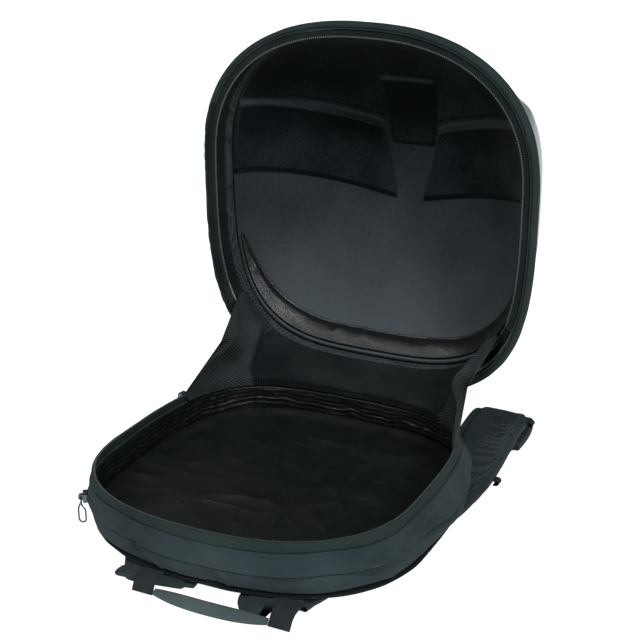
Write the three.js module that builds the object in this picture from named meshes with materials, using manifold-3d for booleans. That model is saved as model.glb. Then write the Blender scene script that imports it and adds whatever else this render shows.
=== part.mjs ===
import * as THREE from 'three';
import { mergeVertices } from 'three/addons/utils/BufferGeometryUtils.js';
import Module from 'manifold-3d';

const wasm = await Module();
wasm.setup();

// A hard shell backpack that lies open on its padded back, with the lid upright.
// Millimetres. +X is to the right, +Y runs from the handle end to the hinge, +Z is up.
// The origin is on the floor, under the middle of the tray.

// Outline of the zip line: two half superellipses, rounder at the handle end
const RIM_WIDTH = 360;
const RIM_LENGTH = 370;
const WIDEST_SHARE = 0.59;
const HANDLE_END_POWER = 2.37;
const HINGE_END_POWER = 3.46;
const STATIONS = 52;

// Lid
const LID_ANGLE = THREE.MathUtils.degToRad(90);
const SHELL_DEPTH = 135;
const SHELL_INSET = 6;
const SHELL_WALL = 2.5;
// The shell's sides swell out, most at SWELL_TURN; SWELL_FROM and SWELL_TO are shares of the way round
const SIDE_SWELL = 9;
const SWELL_TURN = 0.5;
const SWELL_FROM = 0.195;
const SWELL_FADE = 0.03;
const SWELL_TO = 0.356;
const SWELL_SHOULDER = 0.014;
const LID_RIM_WIDTH = 7;
const LID_RIM_FRONT = 5;
const LID_RIM_BACK = 6;
const FACING_DEPTH = 30;
const LINING_THICKNESS = 2.5;
const PANEL_RAISE = 7;
const SLOT_DEPTH = 2;
const SPINE_RAISE = 4;
const TRIM_FROM_SHARE = 0.175;
const TRIM_TO_SHARE = 0.21;
const TRIM_NEAR = 20;
const TRIM_WIDTH = 10;
const TRIM_THICKNESS = 1.5;

// Tray
const RIM_HEIGHT = 64;
const WALL_THICKNESS = 4;
const CLOTH = 1.5;
const UPPER_WALL_TOP = 54.5;
const LOWER_ZIP_TOP = 38;
const LOWER_ZIP_HEIGHT = 2.8;
const LOWER_ZIP_RECESS = 1.5;
const FOLD_DEPTH = 4;
const LEAN_X = 5;
const LEAN_Y = 6;

// Cloth between tray and lid
const HINGE_END_SHARE = 0.1;
const GUSSET_TRAY_END = 0.178;
const GUSSET_LID_END = 0.148;
const PLEAT_DEPTH = 22;
const SEAM_LAP = 10;
const POCKET_START = 4;
const POCKET_DEPTH = 58;
const POCKET_BULGE = 3;
const POCKET_END_SHARE = 0.2;

// Back panel, from the floor up
const PAD_HEIGHT = 11;
const PAD_WIDTH = 64;
const PAD_LENGTH = 220;
const PAD_CORNER = 20;
const PANEL_EDGE_HEIGHT = 4.4;
const PANEL_HEIGHT = 9.7;
const PANEL_INSET = 20;
const PANEL_BEVEL = 5;
const PANEL_CLEARANCE = 2;
const FLOOR_MIDDLE = 0.5;

// Zips
const TAPE_WIDTH = 6.5;
const TAPE_THICKNESS = 2;
const ZIP_END_SHARE = 0.165;
const PULL_SHARE = 0.355;
const PULL_LENGTH = 28;
const PULL_WIDTH = 9;
const PULL_WIRE = 1.8;
const PULL_CORNER = 1.6;
const PULL_TWIST = THREE.MathUtils.degToRad(65);
const WIRE_SIDES = 6;
const SLIDER_LENGTH = 11;
const SLIDER_WIDTH = 8;
const SLIDER_HEIGHT = 4;
const BRIDGE_RADIUS = 2.6;
const BRIDGE_BORE = 1.5;
const BRIDGE_FOOT = 1;
const WALL_CLEARANCE = 0.5;
const MAIN_TAB_LENGTH = 24;
const MAIN_TAB_THICKNESS = 2;
const SLIDER_STEP = 0.013;

// Shoulder straps
const STRAP_WIDTH = 62;
const STRAP_THICKNESS = 11;
const STRAP_EDGE = 165;
const STRAP_TOP_SHIFT = 20;
const STRAP_REACH = 268;
const STRAP_FOLD_HEIGHT = 25;
const WEBBING_WIDTH = 25;
const WEBBING_THICKNESS = 2;
const LOOP_WIDTH = 9;
const LOOP_REACH = 6;

// Handle
const HANDLE_SPAN = 130;
const HANDLE_SHIFT = 28;
const HANDLE_WIDTH = 13;
const HANDLE_THICKNESS = 5;
const HANDLE_TILT = THREE.MathUtils.degToRad(32);
const HANDLE_REACH = 15;
const HANDLE_BOW = 5;
const HANDLE_SKEW = 0.02;
const ANCHOR_WIDTH = 22;
const ANCHOR_THICKNESS = 3;
const GRIP_CLEARANCE = 0.6;

// Gap between pieces that touch
const GAP = 0.4;

// Rounding of a strap's long edges, as a share of its thickness
const STRAP_ROUND = 0.3;

const HALF_WIDTH = RIM_WIDTH / 2;
const HINGE_Y = RIM_LENGTH / 2;
const HINGE_HALF = WIDEST_SHARE * RIM_LENGTH;
const HANDLE_HALF = RIM_LENGTH - HINGE_HALF;
const MIDDLE_Y = HINGE_Y - HINGE_HALF;
const PANEL_BOTTOM = Math.max(PAD_HEIGHT, STRAP_THICKNESS) + GAP;
const WALL_BOTTOM = PANEL_BOTTOM + PANEL_EDGE_HEIGHT + GAP;
const TRAY_FLOOR = PANEL_BOTTOM + PANEL_HEIGHT + GAP;
const SEAM_Z = PANEL_BOTTOM + PANEL_EDGE_HEIGHT / 2;

// Outside of the tray wall: how far in from the zip line it lies at each height
const WALL_PROFILE = [
  { height: 0.25, inset: 23 },
  { height: 0.31, inset: 19 },
  { height: 0.44, inset: 16.5 },
  { height: 0.56, inset: 16.5 },
  { height: 0.69, inset: 18.5 },
  { height: 0.85, inset: 22 },
  { height: 1.0, inset: 25 },
];

// Soft dents in the tray wall: place and spread are shares of the way round
const WALL_FOLDS = [
  { place: 0.29, spread: 0.03, depth: 0.8 },
  { place: 0.43, spread: 0.025, depth: 0.9 },
  { place: 0.5, spread: 0.03, depth: -0.4 },
  { place: 0.61, spread: 0.025, depth: 1.0 },
  { place: 0.66, spread: 0.02, depth: -0.5 },
  { place: 0.71, spread: 0.025, depth: 0.9 },
  { place: 0.8, spread: 0.03, depth: 0.7 },
];

// Moulded forms of the lid lining: side is a share of the half width, up a share of the length
const RELIEF = {
  panelTop: [{ side: 0.2, up: 0.655 }, { side: 0.77, up: 0.725 }],
  panelBottom: [{ side: 0.11, up: 0.45 }, { side: 0.83, up: 0.53 }],
  slotWidth: 0.035,
  slotEnd: 0.75,
  spineTop: 0.81,
  spineLedge: 0.605,
  spineHalf: [{ up: 0.605, side: 0.1 }, { up: 0.7, side: 0.155 }],
  edge: 0.025,
};

// How much further in than its thickness a wall of the dome reaches at the zip plane
const DOME_SPREAD = 1.25;

// The hinge panel's rows, from the tray's inside up over the rim and onto the lid: inward, up and
// deep are shares of SEAM_LAP
const HINGE_TRAY_ROWS = [
  { inward: 0, up: -0.75 },
  { inward: 0, up: 0.1 },
  { inward: -0.6, up: 0.4 },
];
const HINGE_LID_ROWS = [
  { from: -LID_RIM_FRONT, inward: -0.1, deep: -0.2 },
  { from: LID_RIM_BACK, inward: 0, deep: 0 },
  { from: LID_RIM_BACK, inward: 0.3, deep: 1 },
];

// Rows of the gusset's pleat between tray and lid: inward is a share of PLEAT_DEPTH
const PLEAT_ROWS = [
  { up: 0.3, inward: 0.35 },
  { up: 0.55, inward: 1 },
  { up: 0.8, inward: 0.45 },
];

// Centre line of a shoulder strap from the handle end to its folded tip: along is a share of
// STRAP_REACH from the middle, side a share of the widest place, rise a share of the fold's height
const STRAP_PATH = [
  { along: -0.585, side: 0.42, rise: 0 },
  { along: -0.53, side: 0.42, rise: 0 },
  { along: -0.4, side: 0.54, rise: 0 },
  { along: -0.2, side: 0.7, rise: 0 },
  { along: 0, side: 0.84, rise: 0 },
  { along: 0.2, side: 0.95, rise: 0 },
  { along: 0.42, side: 1, rise: 0 },
  { along: 0.6, side: 1, rise: 0 },
  { along: 0.7, side: 1, rise: 0.42 },
  { along: 0.8, side: 1, rise: 0.86 },
  { along: 0.9, side: 1, rise: 1 },
  { along: 0.955, side: 1, rise: 0.85 },
  { along: 0.975, side: 1, rise: 0.5 },
  { along: 0.955, side: 1, rise: 0.15 },
  { along: 0.9, side: 1, rise: 0 },
  { along: 0.81, side: 1, rise: 0 },
];

// Centre line of the webbing from the folded tip back under the tray: side and along as above,
// up in shares of the strap's thickness
const WEBBING_PATH = [
  { side: 1, along: 0.807, up: 0.15 },
  { side: 1, along: 0.775, up: 0.15 },
  { side: 0.92, along: 0.745, up: 0.15 },
  { side: 0.79, along: 0.72, up: 0.15 },
  { side: 0.68, along: 0.69, up: 0.15 },
  { side: 0.6, along: 0.64, up: 0.25 },
  { side: 0.585, along: 0.585, up: 0.6 },
  { side: 0.585, along: 0.54, up: 0.88 },
];

// Side view of a handle anchor: out is a share of the way from the panel's edge to the grip, rise
// a share of the way from the seam's height to the grip's, fall one from the grip's to the floor
const ANCHOR_PATH = [
  { out: 0, rise: 0, fall: 0 },
  { out: 0.55, rise: 0, fall: 0 },
  { out: 0.85, rise: 0.5, fall: 0 },
  { out: 1, rise: 1, fall: 0 },
  { out: 1.1, rise: 1, fall: 0.5 },
];

function material(color, roughness, metalness = 0) {
  return new THREE.MeshStandardMaterial({ color, roughness, metalness });
}

const SHELL_GREY = material(0x8d979b, 0.22);
const SLATE_CLOTH = material(0x33383b, 0.85);
const WEBBING = material(0x2c3033, 0.8);
const ZIP_TAPE = material(0x26292b, 0.75);
const FELT = material(0x15181a, 0.95);
const NYLON = material(0x17181b, 0.35);
const KNIT = material(0x3a3f42, 0.8);
const MESH = material(0x2e3133, 0.9);
const GLOSS_TRIM = material(0x0e0f10, 0.2);
const GUNMETAL = material(0x7c8285, 0.35, 0.9);

function table(rows, key, value, at) {
  const upper = rows.findIndex((row) => row[key] >= at);
  if (upper === 0) return rows[0][value];
  if (upper < 0) return rows[rows.length - 1][value];
  const low = rows[upper - 1];
  const high = rows[upper];
  const share = (at - low[key]) / (high[key] - low[key]);
  return low[value] + share * (high[value] - low[value]);
}

function steps(from, to, count) {
  return Array.from({ length: count }, (_, i) => from + ((to - from) * i) / (count - 1));
}

// A smooth step from 0 at from to 1 at to; to may be the smaller one
function smooth(from, to, at) {
  const share = THREE.MathUtils.clamp((at - from) / (to - from), 0, 1);
  return share * share * (3 - 2 * share);
}

function power(value, exponent) {
  return Math.sign(value) * Math.abs(value) ** exponent;
}

// A point of the outline at an angle, moved in by inset and shrunk towards the middle
function outline(angle, inset, z, shrink = 1) {
  const c = Math.cos(angle);
  const s = Math.sin(angle);
  const exponent = 2 / (s > 0 ? HINGE_END_POWER : HANDLE_END_POWER);
  const reach = (s > 0 ? HINGE_HALF : HANDLE_HALF) - inset;
  const x = shrink * (HALF_WIDTH - inset) * power(c, exponent);
  const y = MIDDLE_Y + shrink * reach * power(s, exponent);
  return [x, y, z];
}

// Angles at equal steps along the outline; share 0 is the middle of the hinge, 0.5 the handle
const DENSE = 2880;
const dense = [];
let walked = 0;
for (let i = 0; i <= DENSE; i++) {
  const angle = Math.PI / 2 + (2 * Math.PI * i) / DENSE;
  const [x, y] = outline(angle, 0, 0);
  if (i > 0) walked += Math.hypot(x - dense[i - 1].x, y - dense[i - 1].y);
  dense.push({ angle, x, y, walked });
}

function angleAt(share) {
  const turns = Math.floor(share);
  return table(dense, 'walked', 'angle', (share - turns) * walked) + 2 * Math.PI * turns;
}

// Every piece that follows the outline uses the same stations, so that neighbours never cross
const STATION_SHARES = Array.from({ length: STATIONS }, (_, i) => i / STATIONS);

function stationsBetween(from, to) {
  const first = Math.ceil(from * STATIONS);
  const last = Math.floor(to * STATIONS);
  return Array.from({ length: last - first + 1 }, (_, i) => (first + i) / STATIONS);
}

function signedVolume(points, index) {
  const [a, b, c] = [new THREE.Vector3(), new THREE.Vector3(), new THREE.Vector3()];
  let volume = 0;
  for (let i = 0; i < index.length; i += 3) {
    a.fromArray(points[index[i]]);
    b.fromArray(points[index[i + 1]]);
    c.fromArray(points[index[i + 2]]);
    volume += a.dot(b.cross(c)) / 6;
  }
  return volume;
}

function closedGeometry(points, index) {
  if (signedVolume(points, index) < 0) index.reverse();
  const geometry = new THREE.BufferGeometry();
  geometry.setAttribute('position', new THREE.Float32BufferAttribute(points.flat(), 3));
  geometry.setIndex(index);
  geometry.computeVertexNormals();
  return geometry;
}

// A closed body through loops of points: joined into a ring, or with a flat fan at each end
function loft(loops, joined = false) {
  const size = loops[0].length;
  const points = loops.flat();
  const index = [];
  const spans = joined ? loops.length : loops.length - 1;
  for (let i = 0; i < spans; i++) {
    const here = i * size;
    const next = ((i + 1) % loops.length) * size;
    for (let j = 0; j < size; j++) {
      const k = (j + 1) % size;
      index.push(here + j, here + k, next + k);
      index.push(here + j, next + k, next + j);
    }
  }
  if (!joined) {
    for (const [start, forward] of [[0, false], [(loops.length - 1) * size, true]]) {
      const loop = points.slice(start, start + size);
      const middle = [0, 1, 2].map((axis) => loop.reduce((sum, p) => sum + p[axis], 0) / size);
      const centre = points.push(middle) - 1;
      for (let j = 0; j < size; j++) {
        const k = (j + 1) % size;
        const [a, b] = forward ? [j, k] : [k, j];
        index.push(start + a, start + b, centre);
      }
    }
  }
  return closedGeometry(points, index);
}

// A ring or open band that follows the outline; section(share) gives rows of { inset, z }
function band(section, place = outline, from = 0, to = 1) {
  const closed = to - from === 1;
  const stations = closed ? STATION_SHARES : stationsBetween(from, to);
  const loops = stations.map((share) => {
    const angle = angleAt(share);
    return section(share).map(({ inset, z }) => place(angle, inset, z));
  });
  return loft(loops, closed);
}

// A thin sheet of cloth over a grid of points, with its thickness shared to both sides
function sheet(grid, thickness) {
  const rows = grid.length;
  const columns = grid[0].length;
  const at = (i, j) => new THREE.Vector3(...grid[i][j]);
  const clampRow = (i) => Math.min(Math.max(i, 0), rows - 1);
  const clampColumn = (j) => Math.min(Math.max(j, 0), columns - 1);
  const offset = (i, j, amount) => {
    const along = at(clampRow(i + 1), j).sub(at(clampRow(i - 1), j));
    const across = at(i, clampColumn(j + 1)).sub(at(i, clampColumn(j - 1)));
    const normal = along.cross(across).normalize();
    return at(i, j).addScaledVector(normal, amount).toArray();
  };
  const loops = [];
  for (let i = 0; i < rows; i++) {
    const front = grid[i].map((_, j) => offset(i, j, thickness / 2));
    const back = grid[i].map((_, j) => offset(i, j, -thickness / 2)).reverse();
    loops.push([...front, ...back]);
  }
  return stripLoft(loops, columns);
}

// Like loft, but its end faces are strips between the two sides, which suits a bent sheet
function stripLoft(loops, columns) {
  const size = loops[0].length;
  const points = loops.flat();
  const index = [];
  for (let i = 0; i < loops.length - 1; i++) {
    for (let j = 0; j < size; j++) {
      const k = (j + 1) % size;
      const here = i * size;
      const next = here + size;
      index.push(here + j, here + k, next + k);
      index.push(here + j, next + k, next + j);
    }
  }
  for (const [start, forward] of [[0, false], [(loops.length - 1) * size, true]]) {
    for (let j = 0; j < columns - 1; j++) {
      const quad = [j, j + 1, size - 2 - j, size - 1 - j].map((n) => start + n);
      if (!forward) quad.reverse();
      index.push(quad[0], quad[1], quad[2]);
      index.push(quad[0], quad[2], quad[3]);
    }
  }
  return closedGeometry(points, index);
}

// A flat strap with rounded edges along a path of { x, y, z, width, thickness }
function strapAlong(path) {
  const loops = path.map((station, i) => {
    const before = path[Math.max(i - 1, 0)];
    const after = path[Math.min(i + 1, path.length - 1)];
    const ahead = new THREE.Vector3(after.x - before.x, after.y - before.y, after.z - before.z);
    ahead.normalize();
    const across = station.across.clone();
    across.addScaledVector(ahead, -across.dot(ahead)).normalize();
    const up = across.clone().cross(ahead);
    const middle = new THREE.Vector3(station.x, station.y, station.z);
    const { width, thickness } = station;
    const round = thickness * STRAP_ROUND;
    const corners = [
      [width / 2, thickness / 2 - round],
      [width / 2 - round, thickness / 2],
      [-width / 2 + round, thickness / 2],
      [-width / 2, thickness / 2 - round],
      [-width / 2, -thickness / 2 + round],
      [-width / 2 + round, -thickness / 2],
      [width / 2 - round, -thickness / 2],
      [width / 2, -thickness / 2 + round],
    ];
    return corners.map(([a, b]) => {
      const point = middle.clone().addScaledVector(across, a).addScaledVector(up, b);
      return point.toArray();
    });
  });
  return loft(loops);
}

function mesh(name, geometry, look) {
  const piece = new THREE.Mesh(geometry, look);
  piece.name = name;
  return piece;
}

// Lid pieces are drawn as if the lid were closed, with z as the depth above the zip plane

function domeLoop(turn, offset, lift = () => 0) {
  return STATION_SHARES.map((share) => {
    const angle = angleAt(share);
    const inner = offset + lift(share, turn);
    const shrink = Math.cos(turn) - (inner * Math.cos(turn)) / HALF_WIDTH;
    const z = (SHELL_DEPTH - inner) * Math.sin(turn);
    return outline(angle, SHELL_INSET, z, shrink);
  });
}

// Turns of the dome from the zip plane (0) to its middle (a quarter turn): the facing's, then the rest
const RIM_TURN = Math.asin((LID_RIM_BACK + GAP) / SHELL_DEPTH);
const FACING_TURN = Math.asin(FACING_DEPTH / SHELL_DEPTH);
const LINING_TURN = Math.asin((FACING_DEPTH + 2 * GAP) / SHELL_DEPTH);
const LAST_TURN = 0.96 * (Math.PI / 2);
const FACING_TURNS = steps(RIM_TURN, FACING_TURN, 2);
const DEEP_TURNS = steps(LINING_TURN, LAST_TURN, 6);

// How far the shell's sides swell out past the plain dome at a place
function sideSwell(share, turn) {
  const side = Math.min(share, 1 - share);
  const start = smooth(SWELL_FROM - SWELL_FADE, SWELL_FROM + SWELL_FADE, side);
  const end = smooth(SWELL_TO + SWELL_SHOULDER, SWELL_TO - SWELL_SHOULDER, side);
  const before = (SWELL_TURN - turn) / (SWELL_TURN - FACING_TURN);
  const past = THREE.MathUtils.clamp(Math.max(before, turn - SWELL_TURN), 0, 1);
  const rise = Math.cos((past * Math.PI) / 2) ** 1.5;
  return SIDE_SWELL * start * end * rise;
}

const swollen = (share, turn) => -sideSwell(share, turn);

function lidShell() {
  const list = [...FACING_TURNS, ...DEEP_TURNS];
  const outside = list.map((turn) => domeLoop(turn, 0, swollen)).reverse();
  const inside = list.map((turn) => domeLoop(turn, SHELL_WALL, swollen));
  return mesh('lid_shell', loft([...outside, ...inside]), SHELL_GREY);
}

function lidRim() {
  const crown = LID_RIM_WIDTH / 3;
  const section = () => [
    { inset: 0, z: -LID_RIM_FRONT + crown },
    { inset: crown, z: -LID_RIM_FRONT },
    { inset: LID_RIM_WIDTH - crown, z: -LID_RIM_FRONT },
    { inset: LID_RIM_WIDTH, z: -LID_RIM_FRONT + crown },
    { inset: LID_RIM_WIDTH, z: LID_RIM_BACK },
    { inset: 0, z: LID_RIM_BACK },
  ];
  return mesh('lid_rim', band(section), SLATE_CLOTH);
}

function lidZipTape() {
  const inset = LID_RIM_WIDTH + GAP;
  const front = -LID_RIM_FRONT + TAPE_THICKNESS;
  const section = () => [
    { inset, z: front },
    { inset: inset + TAPE_WIDTH, z: front },
    { inset: inset + TAPE_WIDTH, z: front + TAPE_THICKNESS },
    { inset, z: front + TAPE_THICKNESS },
  ];
  const geometry = band(section, outline, ZIP_END_SHARE, 1 - ZIP_END_SHARE);
  return mesh('lid_zip_tape', geometry, ZIP_TAPE);
}

function lidFacing() {
  const outer = SHELL_WALL + GAP;
  const outside = FACING_TURNS.map((turn) => domeLoop(turn, outer)).reverse();
  const inside = FACING_TURNS.map((turn) => domeLoop(turn, outer + CLOTH));
  const loops = [...outside, ...inside];
  return mesh('lid_facing', loftAround(loops), KNIT);
}

// Joins loops that each run round the outline into a ring with a closed section
function loftAround(loops) {
  const count = loops[0].length;
  const sections = [];
  for (let j = 0; j < count; j++) sections.push(loops.map((loop) => loop[j]));
  return loft(sections, true);
}

// How far the moulded lining stands out towards the inside at a place on the lid
function reliefAt(x, y) {
  const side = Math.abs(x) / HALF_WIDTH;
  const up = (HINGE_Y - y) / RIM_LENGTH;
  const { edge, slotWidth, slotEnd, panelTop, panelBottom, spineTop, spineLedge, spineHalf } = RELIEF;
  const top = table(panelTop, 'side', 'up', side);
  const bottom = table(panelBottom, 'side', 'up', side);
  const inner = THREE.MathUtils.mapLinear(up, bottom, top, panelBottom[0].side, panelTop[0].side);
  const inPanel = smooth(bottom - edge, bottom, up) * smooth(top, top - edge, up);
  const panel = inPanel * smooth(inner - edge, inner + edge, side);
  const slot = smooth(top - edge, top, up) * smooth(top + 2 * slotWidth, top + slotWidth, up);
  const slotSpan = smooth(inner, inner + 2 * edge, side) * smooth(slotEnd + edge, slotEnd - edge, side);
  const inSlot = slot * slotSpan;
  const half = table(spineHalf, 'up', 'side', up);
  const inSpine = smooth(spineTop + edge, spineTop, up) * smooth(spineLedge - edge, spineLedge, up);
  const spine = inSpine * smooth(half, half - edge, side);
  return PANEL_RAISE * panel - SLOT_DEPTH * inSlot + SPINE_RAISE * spine;
}

function lidLining() {
  const outer = SHELL_WALL + GAP;
  const inner = outer + LINING_THICKNESS + SLOT_DEPTH;
  const lift = (share, turn) => {
    const [x, y] = outline(angleAt(share), SHELL_INSET, 0, Math.cos(turn));
    return reliefAt(x, y);
  };
  const outside = DEEP_TURNS.map((turn) => domeLoop(turn, outer)).reverse();
  const inside = steps(LINING_TURN, LAST_TURN, 11).map((turn) => domeLoop(turn, inner, lift));
  return mesh('lid_lining', loft([...outside, ...inside]), FELT);
}

// A thin trim strip that lies on the outside of the shell, low on each side
function shellTrim(name, side) {
  const turns = [TRIM_NEAR, TRIM_NEAR + TRIM_WIDTH].map((depth) => Math.asin(depth / SHELL_DEPTH));
  const loops = steps(TRIM_FROM_SHARE, TRIM_TO_SHARE, 6).map((share) => {
    const angle = angleAt(side < 0 ? share : 1 - share);
    const place = (turn, out) => {
      const shrink = Math.cos(turn) * (1 + out / HALF_WIDTH);
      return outline(angle, SHELL_INSET, (SHELL_DEPTH + out) * Math.sin(turn), shrink);
    };
    const [near, far] = turns;
    const [under, over] = [2 * GAP, 2 * GAP + TRIM_THICKNESS];
    return [place(near, under), place(far, under), place(far, over), place(near, over)];
  });
  return mesh(name, loft(loops), GLOSS_TRIM);
}

function makeLid() {
  const lid = new THREE.Group();
  lid.add(lidShell(), lidRim(), lidZipTape(), lidFacing(), lidLining());
  lid.add(shellTrim('shell_trim_left', -1), shellTrim('shell_trim_right', 1));
  for (const piece of lid.children) piece.position.y = -HINGE_Y;
  lid.position.set(0, HINGE_Y, RIM_HEIGHT);
  lid.rotation.x = -LID_ANGLE;
  lid.updateMatrixWorld(true);
  return lid;
}

// Tray pieces stand on the padded back, with z from the floor

// The soft tray leans a little: its foot lies further to the right and to the hinge than its rim
function trayOutline(angle, inset, z, shrink = 1) {
  const [x, y] = outline(angle, inset, z, shrink);
  const lean = 1 - z / RIM_HEIGHT;
  return [x + LEAN_X * lean, y + LEAN_Y * lean, z];
}

// A point on the straight line between two stations of the tray, where its flat facets lie
function onFacet(share, insetAt, z) {
  const before = Math.floor(share * STATIONS) / STATIONS;
  const after = before + 1 / STATIONS;
  const low = trayOutline(angleAt(before), insetAt(before), z);
  const high = trayOutline(angleAt(after), insetAt(after), z);
  return low.map((value, axis) => value + (share - before) * STATIONS * (high[axis] - value));
}

function foldAt(share, z) {
  const up = THREE.MathUtils.clamp((z - WALL_BOTTOM) / (RIM_HEIGHT - WALL_BOTTOM), 0, 1);
  const height = Math.sin(Math.PI * up);
  let depth = 0;
  for (const fold of WALL_FOLDS) {
    const away = (share - fold.place) / fold.spread;
    depth += fold.depth * Math.exp(-away * away);
  }
  return FOLD_DEPTH * depth * height;
}

function wallInset(share, z) {
  return table(WALL_PROFILE, 'height', 'inset', z / RIM_HEIGHT) + foldAt(share, z);
}

// A closed wall section between two heights, in steps, between two depths from the outside
function wallSection(heights, near, far) {
  return (share) => {
    const outside = heights.map((z) => ({ inset: wallInset(share, z) + near, z }));
    const inside = heights.map((z) => ({ inset: wallInset(share, z) + far, z })).reverse();
    return [...outside, ...inside];
  };
}

function trayWallUpper() {
  const section = wallSection(steps(LOWER_ZIP_TOP + GAP, UPPER_WALL_TOP, 4), 0, WALL_THICKNESS);
  return mesh('tray_wall_upper', band(section, trayOutline), SLATE_CLOTH);
}

function trayWallLower() {
  const top = LOWER_ZIP_TOP - LOWER_ZIP_HEIGHT - GAP;
  const section = wallSection(steps(WALL_BOTTOM, top, 4), 0, WALL_THICKNESS);
  return mesh('tray_wall_lower', band(section, trayOutline), SLATE_CLOTH);
}

function lowerZipTape() {
  const heights = [LOWER_ZIP_TOP - LOWER_ZIP_HEIGHT, LOWER_ZIP_TOP];
  const section = wallSection(heights, LOWER_ZIP_RECESS, WALL_THICKNESS);
  return mesh('lower_zip_tape', band(section, trayOutline), ZIP_TAPE);
}

function trayZipTape() {
  const heights = [UPPER_WALL_TOP + GAP, RIM_HEIGHT];
  const section = wallSection(heights, 0, TAPE_THICKNESS);
  return mesh('tray_zip_tape', band(section, trayOutline), ZIP_TAPE);
}

function trayLining() {
  const near = WALL_THICKNESS + 2 * GAP;
  const loop = (z, depth, shrink = 1) => STATION_SHARES.map((share) => {
    return trayOutline(angleAt(share), wallInset(share, z) + depth, z, shrink);
  });
  const heights = steps(TRAY_FLOOR, UPPER_WALL_TOP, 4);
  const top = TRAY_FLOOR + CLOTH;
  const outside = [loop(TRAY_FLOOR, near, FLOOR_MIDDLE), ...heights.map((z) => loop(z, near))];
  const wall = heights.slice(1).reverse().map((z) => loop(z, near + CLOTH));
  const inside = [...wall, loop(top, near + CLOTH), loop(top, near + CLOTH, FLOOR_MIDDLE)];
  return mesh('tray_lining', loft([...outside, ...inside]), NYLON);
}

function backPanel() {
  const edgeTop = PANEL_BOTTOM + PANEL_EDGE_HEIGHT;
  const top = PANEL_BOTTOM + PANEL_HEIGHT;
  const clear = WALL_PROFILE[0].inset + WALL_THICKNESS + PANEL_CLEARANCE;
  const rows = [
    { inset: PANEL_INSET + PANEL_BEVEL, z: PANEL_BOTTOM },
    { inset: PANEL_INSET, z: SEAM_Z },
    { inset: PANEL_INSET + PANEL_BEVEL / 5, z: edgeTop },
    { inset: clear, z: edgeTop },
    { inset: clear, z: top },
  ];
  const loops = rows.map(({ inset, z }) => {
    return STATION_SHARES.map((share) => trayOutline(angleAt(share), inset, z));
  });
  return mesh('back_panel', loft(loops), MESH);
}

function roundedRectangle(width, length, radius) {
  const [w, h] = [width / 2 - radius, length / 2 - radius];
  const shape = new THREE.Shape();
  shape.absarc(w, -h, radius, -Math.PI / 2, 0);
  shape.absarc(w, h, radius, 0, Math.PI / 2);
  shape.absarc(-w, h, radius, Math.PI / 2, Math.PI);
  shape.absarc(-w, -h, radius, Math.PI, 1.5 * Math.PI);
  return shape;
}

function extruded(shape, depth, curveSegments) {
  return new THREE.ExtrudeGeometry(shape, { depth, bevelEnabled: false, curveSegments });
}

function backPad() {
  const shape = roundedRectangle(PAD_WIDTH, PAD_LENGTH, PAD_CORNER);
  return mesh('back_pad', extruded(shape, PAD_HEIGHT, 5), MESH);
}

// Cloth that crosses from the tray to the lid

function opened([x, y, z]) {
  const back = y - HINGE_Y;
  const [c, s] = [Math.cos(LID_ANGLE), Math.sin(LID_ANGLE)];
  return [x, HINGE_Y + back * c + z * s, RIM_HEIGHT - back * s + z * c];
}

const RIM_INSET = WALL_PROFILE[WALL_PROFILE.length - 1].inset;
const INSIDE_TRAY = RIM_INSET + TAPE_THICKNESS + GAP + CLOTH / 2;
const INSIDE_LID = SHELL_INSET + DOME_SPREAD * (SHELL_WALL + GAP + CLOTH) + CLOTH;

function hingePanel() {
  const grid = stationsBetween(-HINGE_END_SHARE, HINGE_END_SHARE).map((share) => {
    const angle = angleAt(share);
    const onTray = HINGE_TRAY_ROWS.map(({ inward, up }) => {
      return trayOutline(angle, INSIDE_TRAY + inward * SEAM_LAP, RIM_HEIGHT + up * SEAM_LAP);
    });
    const onLid = HINGE_LID_ROWS.map(({ from, inward, deep }) => {
      return opened(outline(angle, INSIDE_LID + inward * SEAM_LAP, from + deep * SEAM_LAP));
    });
    return [...onTray, ...onLid];
  });
  return mesh('hinge_panel', sheet(grid, CLOTH), KNIT);
}

// A folded web: a leaf from the tray rim, a pleat that points inwards, and a leaf from the lid
function gusset(name, side) {
  const start = HINGE_END_SHARE + 1 / STATIONS;
  const placeFor = (share) => (side < 0 ? share : 1 - share);
  const besideTape = LID_RIM_WIDTH + TAPE_WIDTH + 2 * GAP + CLOTH;
  const grid = steps(0, 1, 7).map((out) => {
    const trayShare = placeFor(start + out * (GUSSET_TRAY_END - start));
    const lidAngle = angleAt(placeFor(start + out * (GUSSET_LID_END - start)));
    const foot = onFacet(trayShare, () => INSIDE_TRAY, UPPER_WALL_TOP + CLOTH);
    const low = onFacet(trayShare, () => INSIDE_TRAY, RIM_HEIGHT + 2 * CLOTH);
    const high = opened(outline(lidAngle, besideTape, -LID_RIM_FRONT));
    const head = opened(outline(lidAngle, INSIDE_LID + 3 * CLOTH, LID_RIM_BACK + SEAM_LAP));
    const pleat = PLEAT_ROWS.map(({ up, inward }) => low.map((value, axis) => {
      const straight = value + up * (high[axis] - value);
      return axis === 0 ? straight - side * inward * PLEAT_DEPTH * out : straight;
    }));
    return [foot, low, ...pleat, high, head];
  });
  return mesh(name, sheet(grid, CLOTH), KNIT);
}

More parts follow.
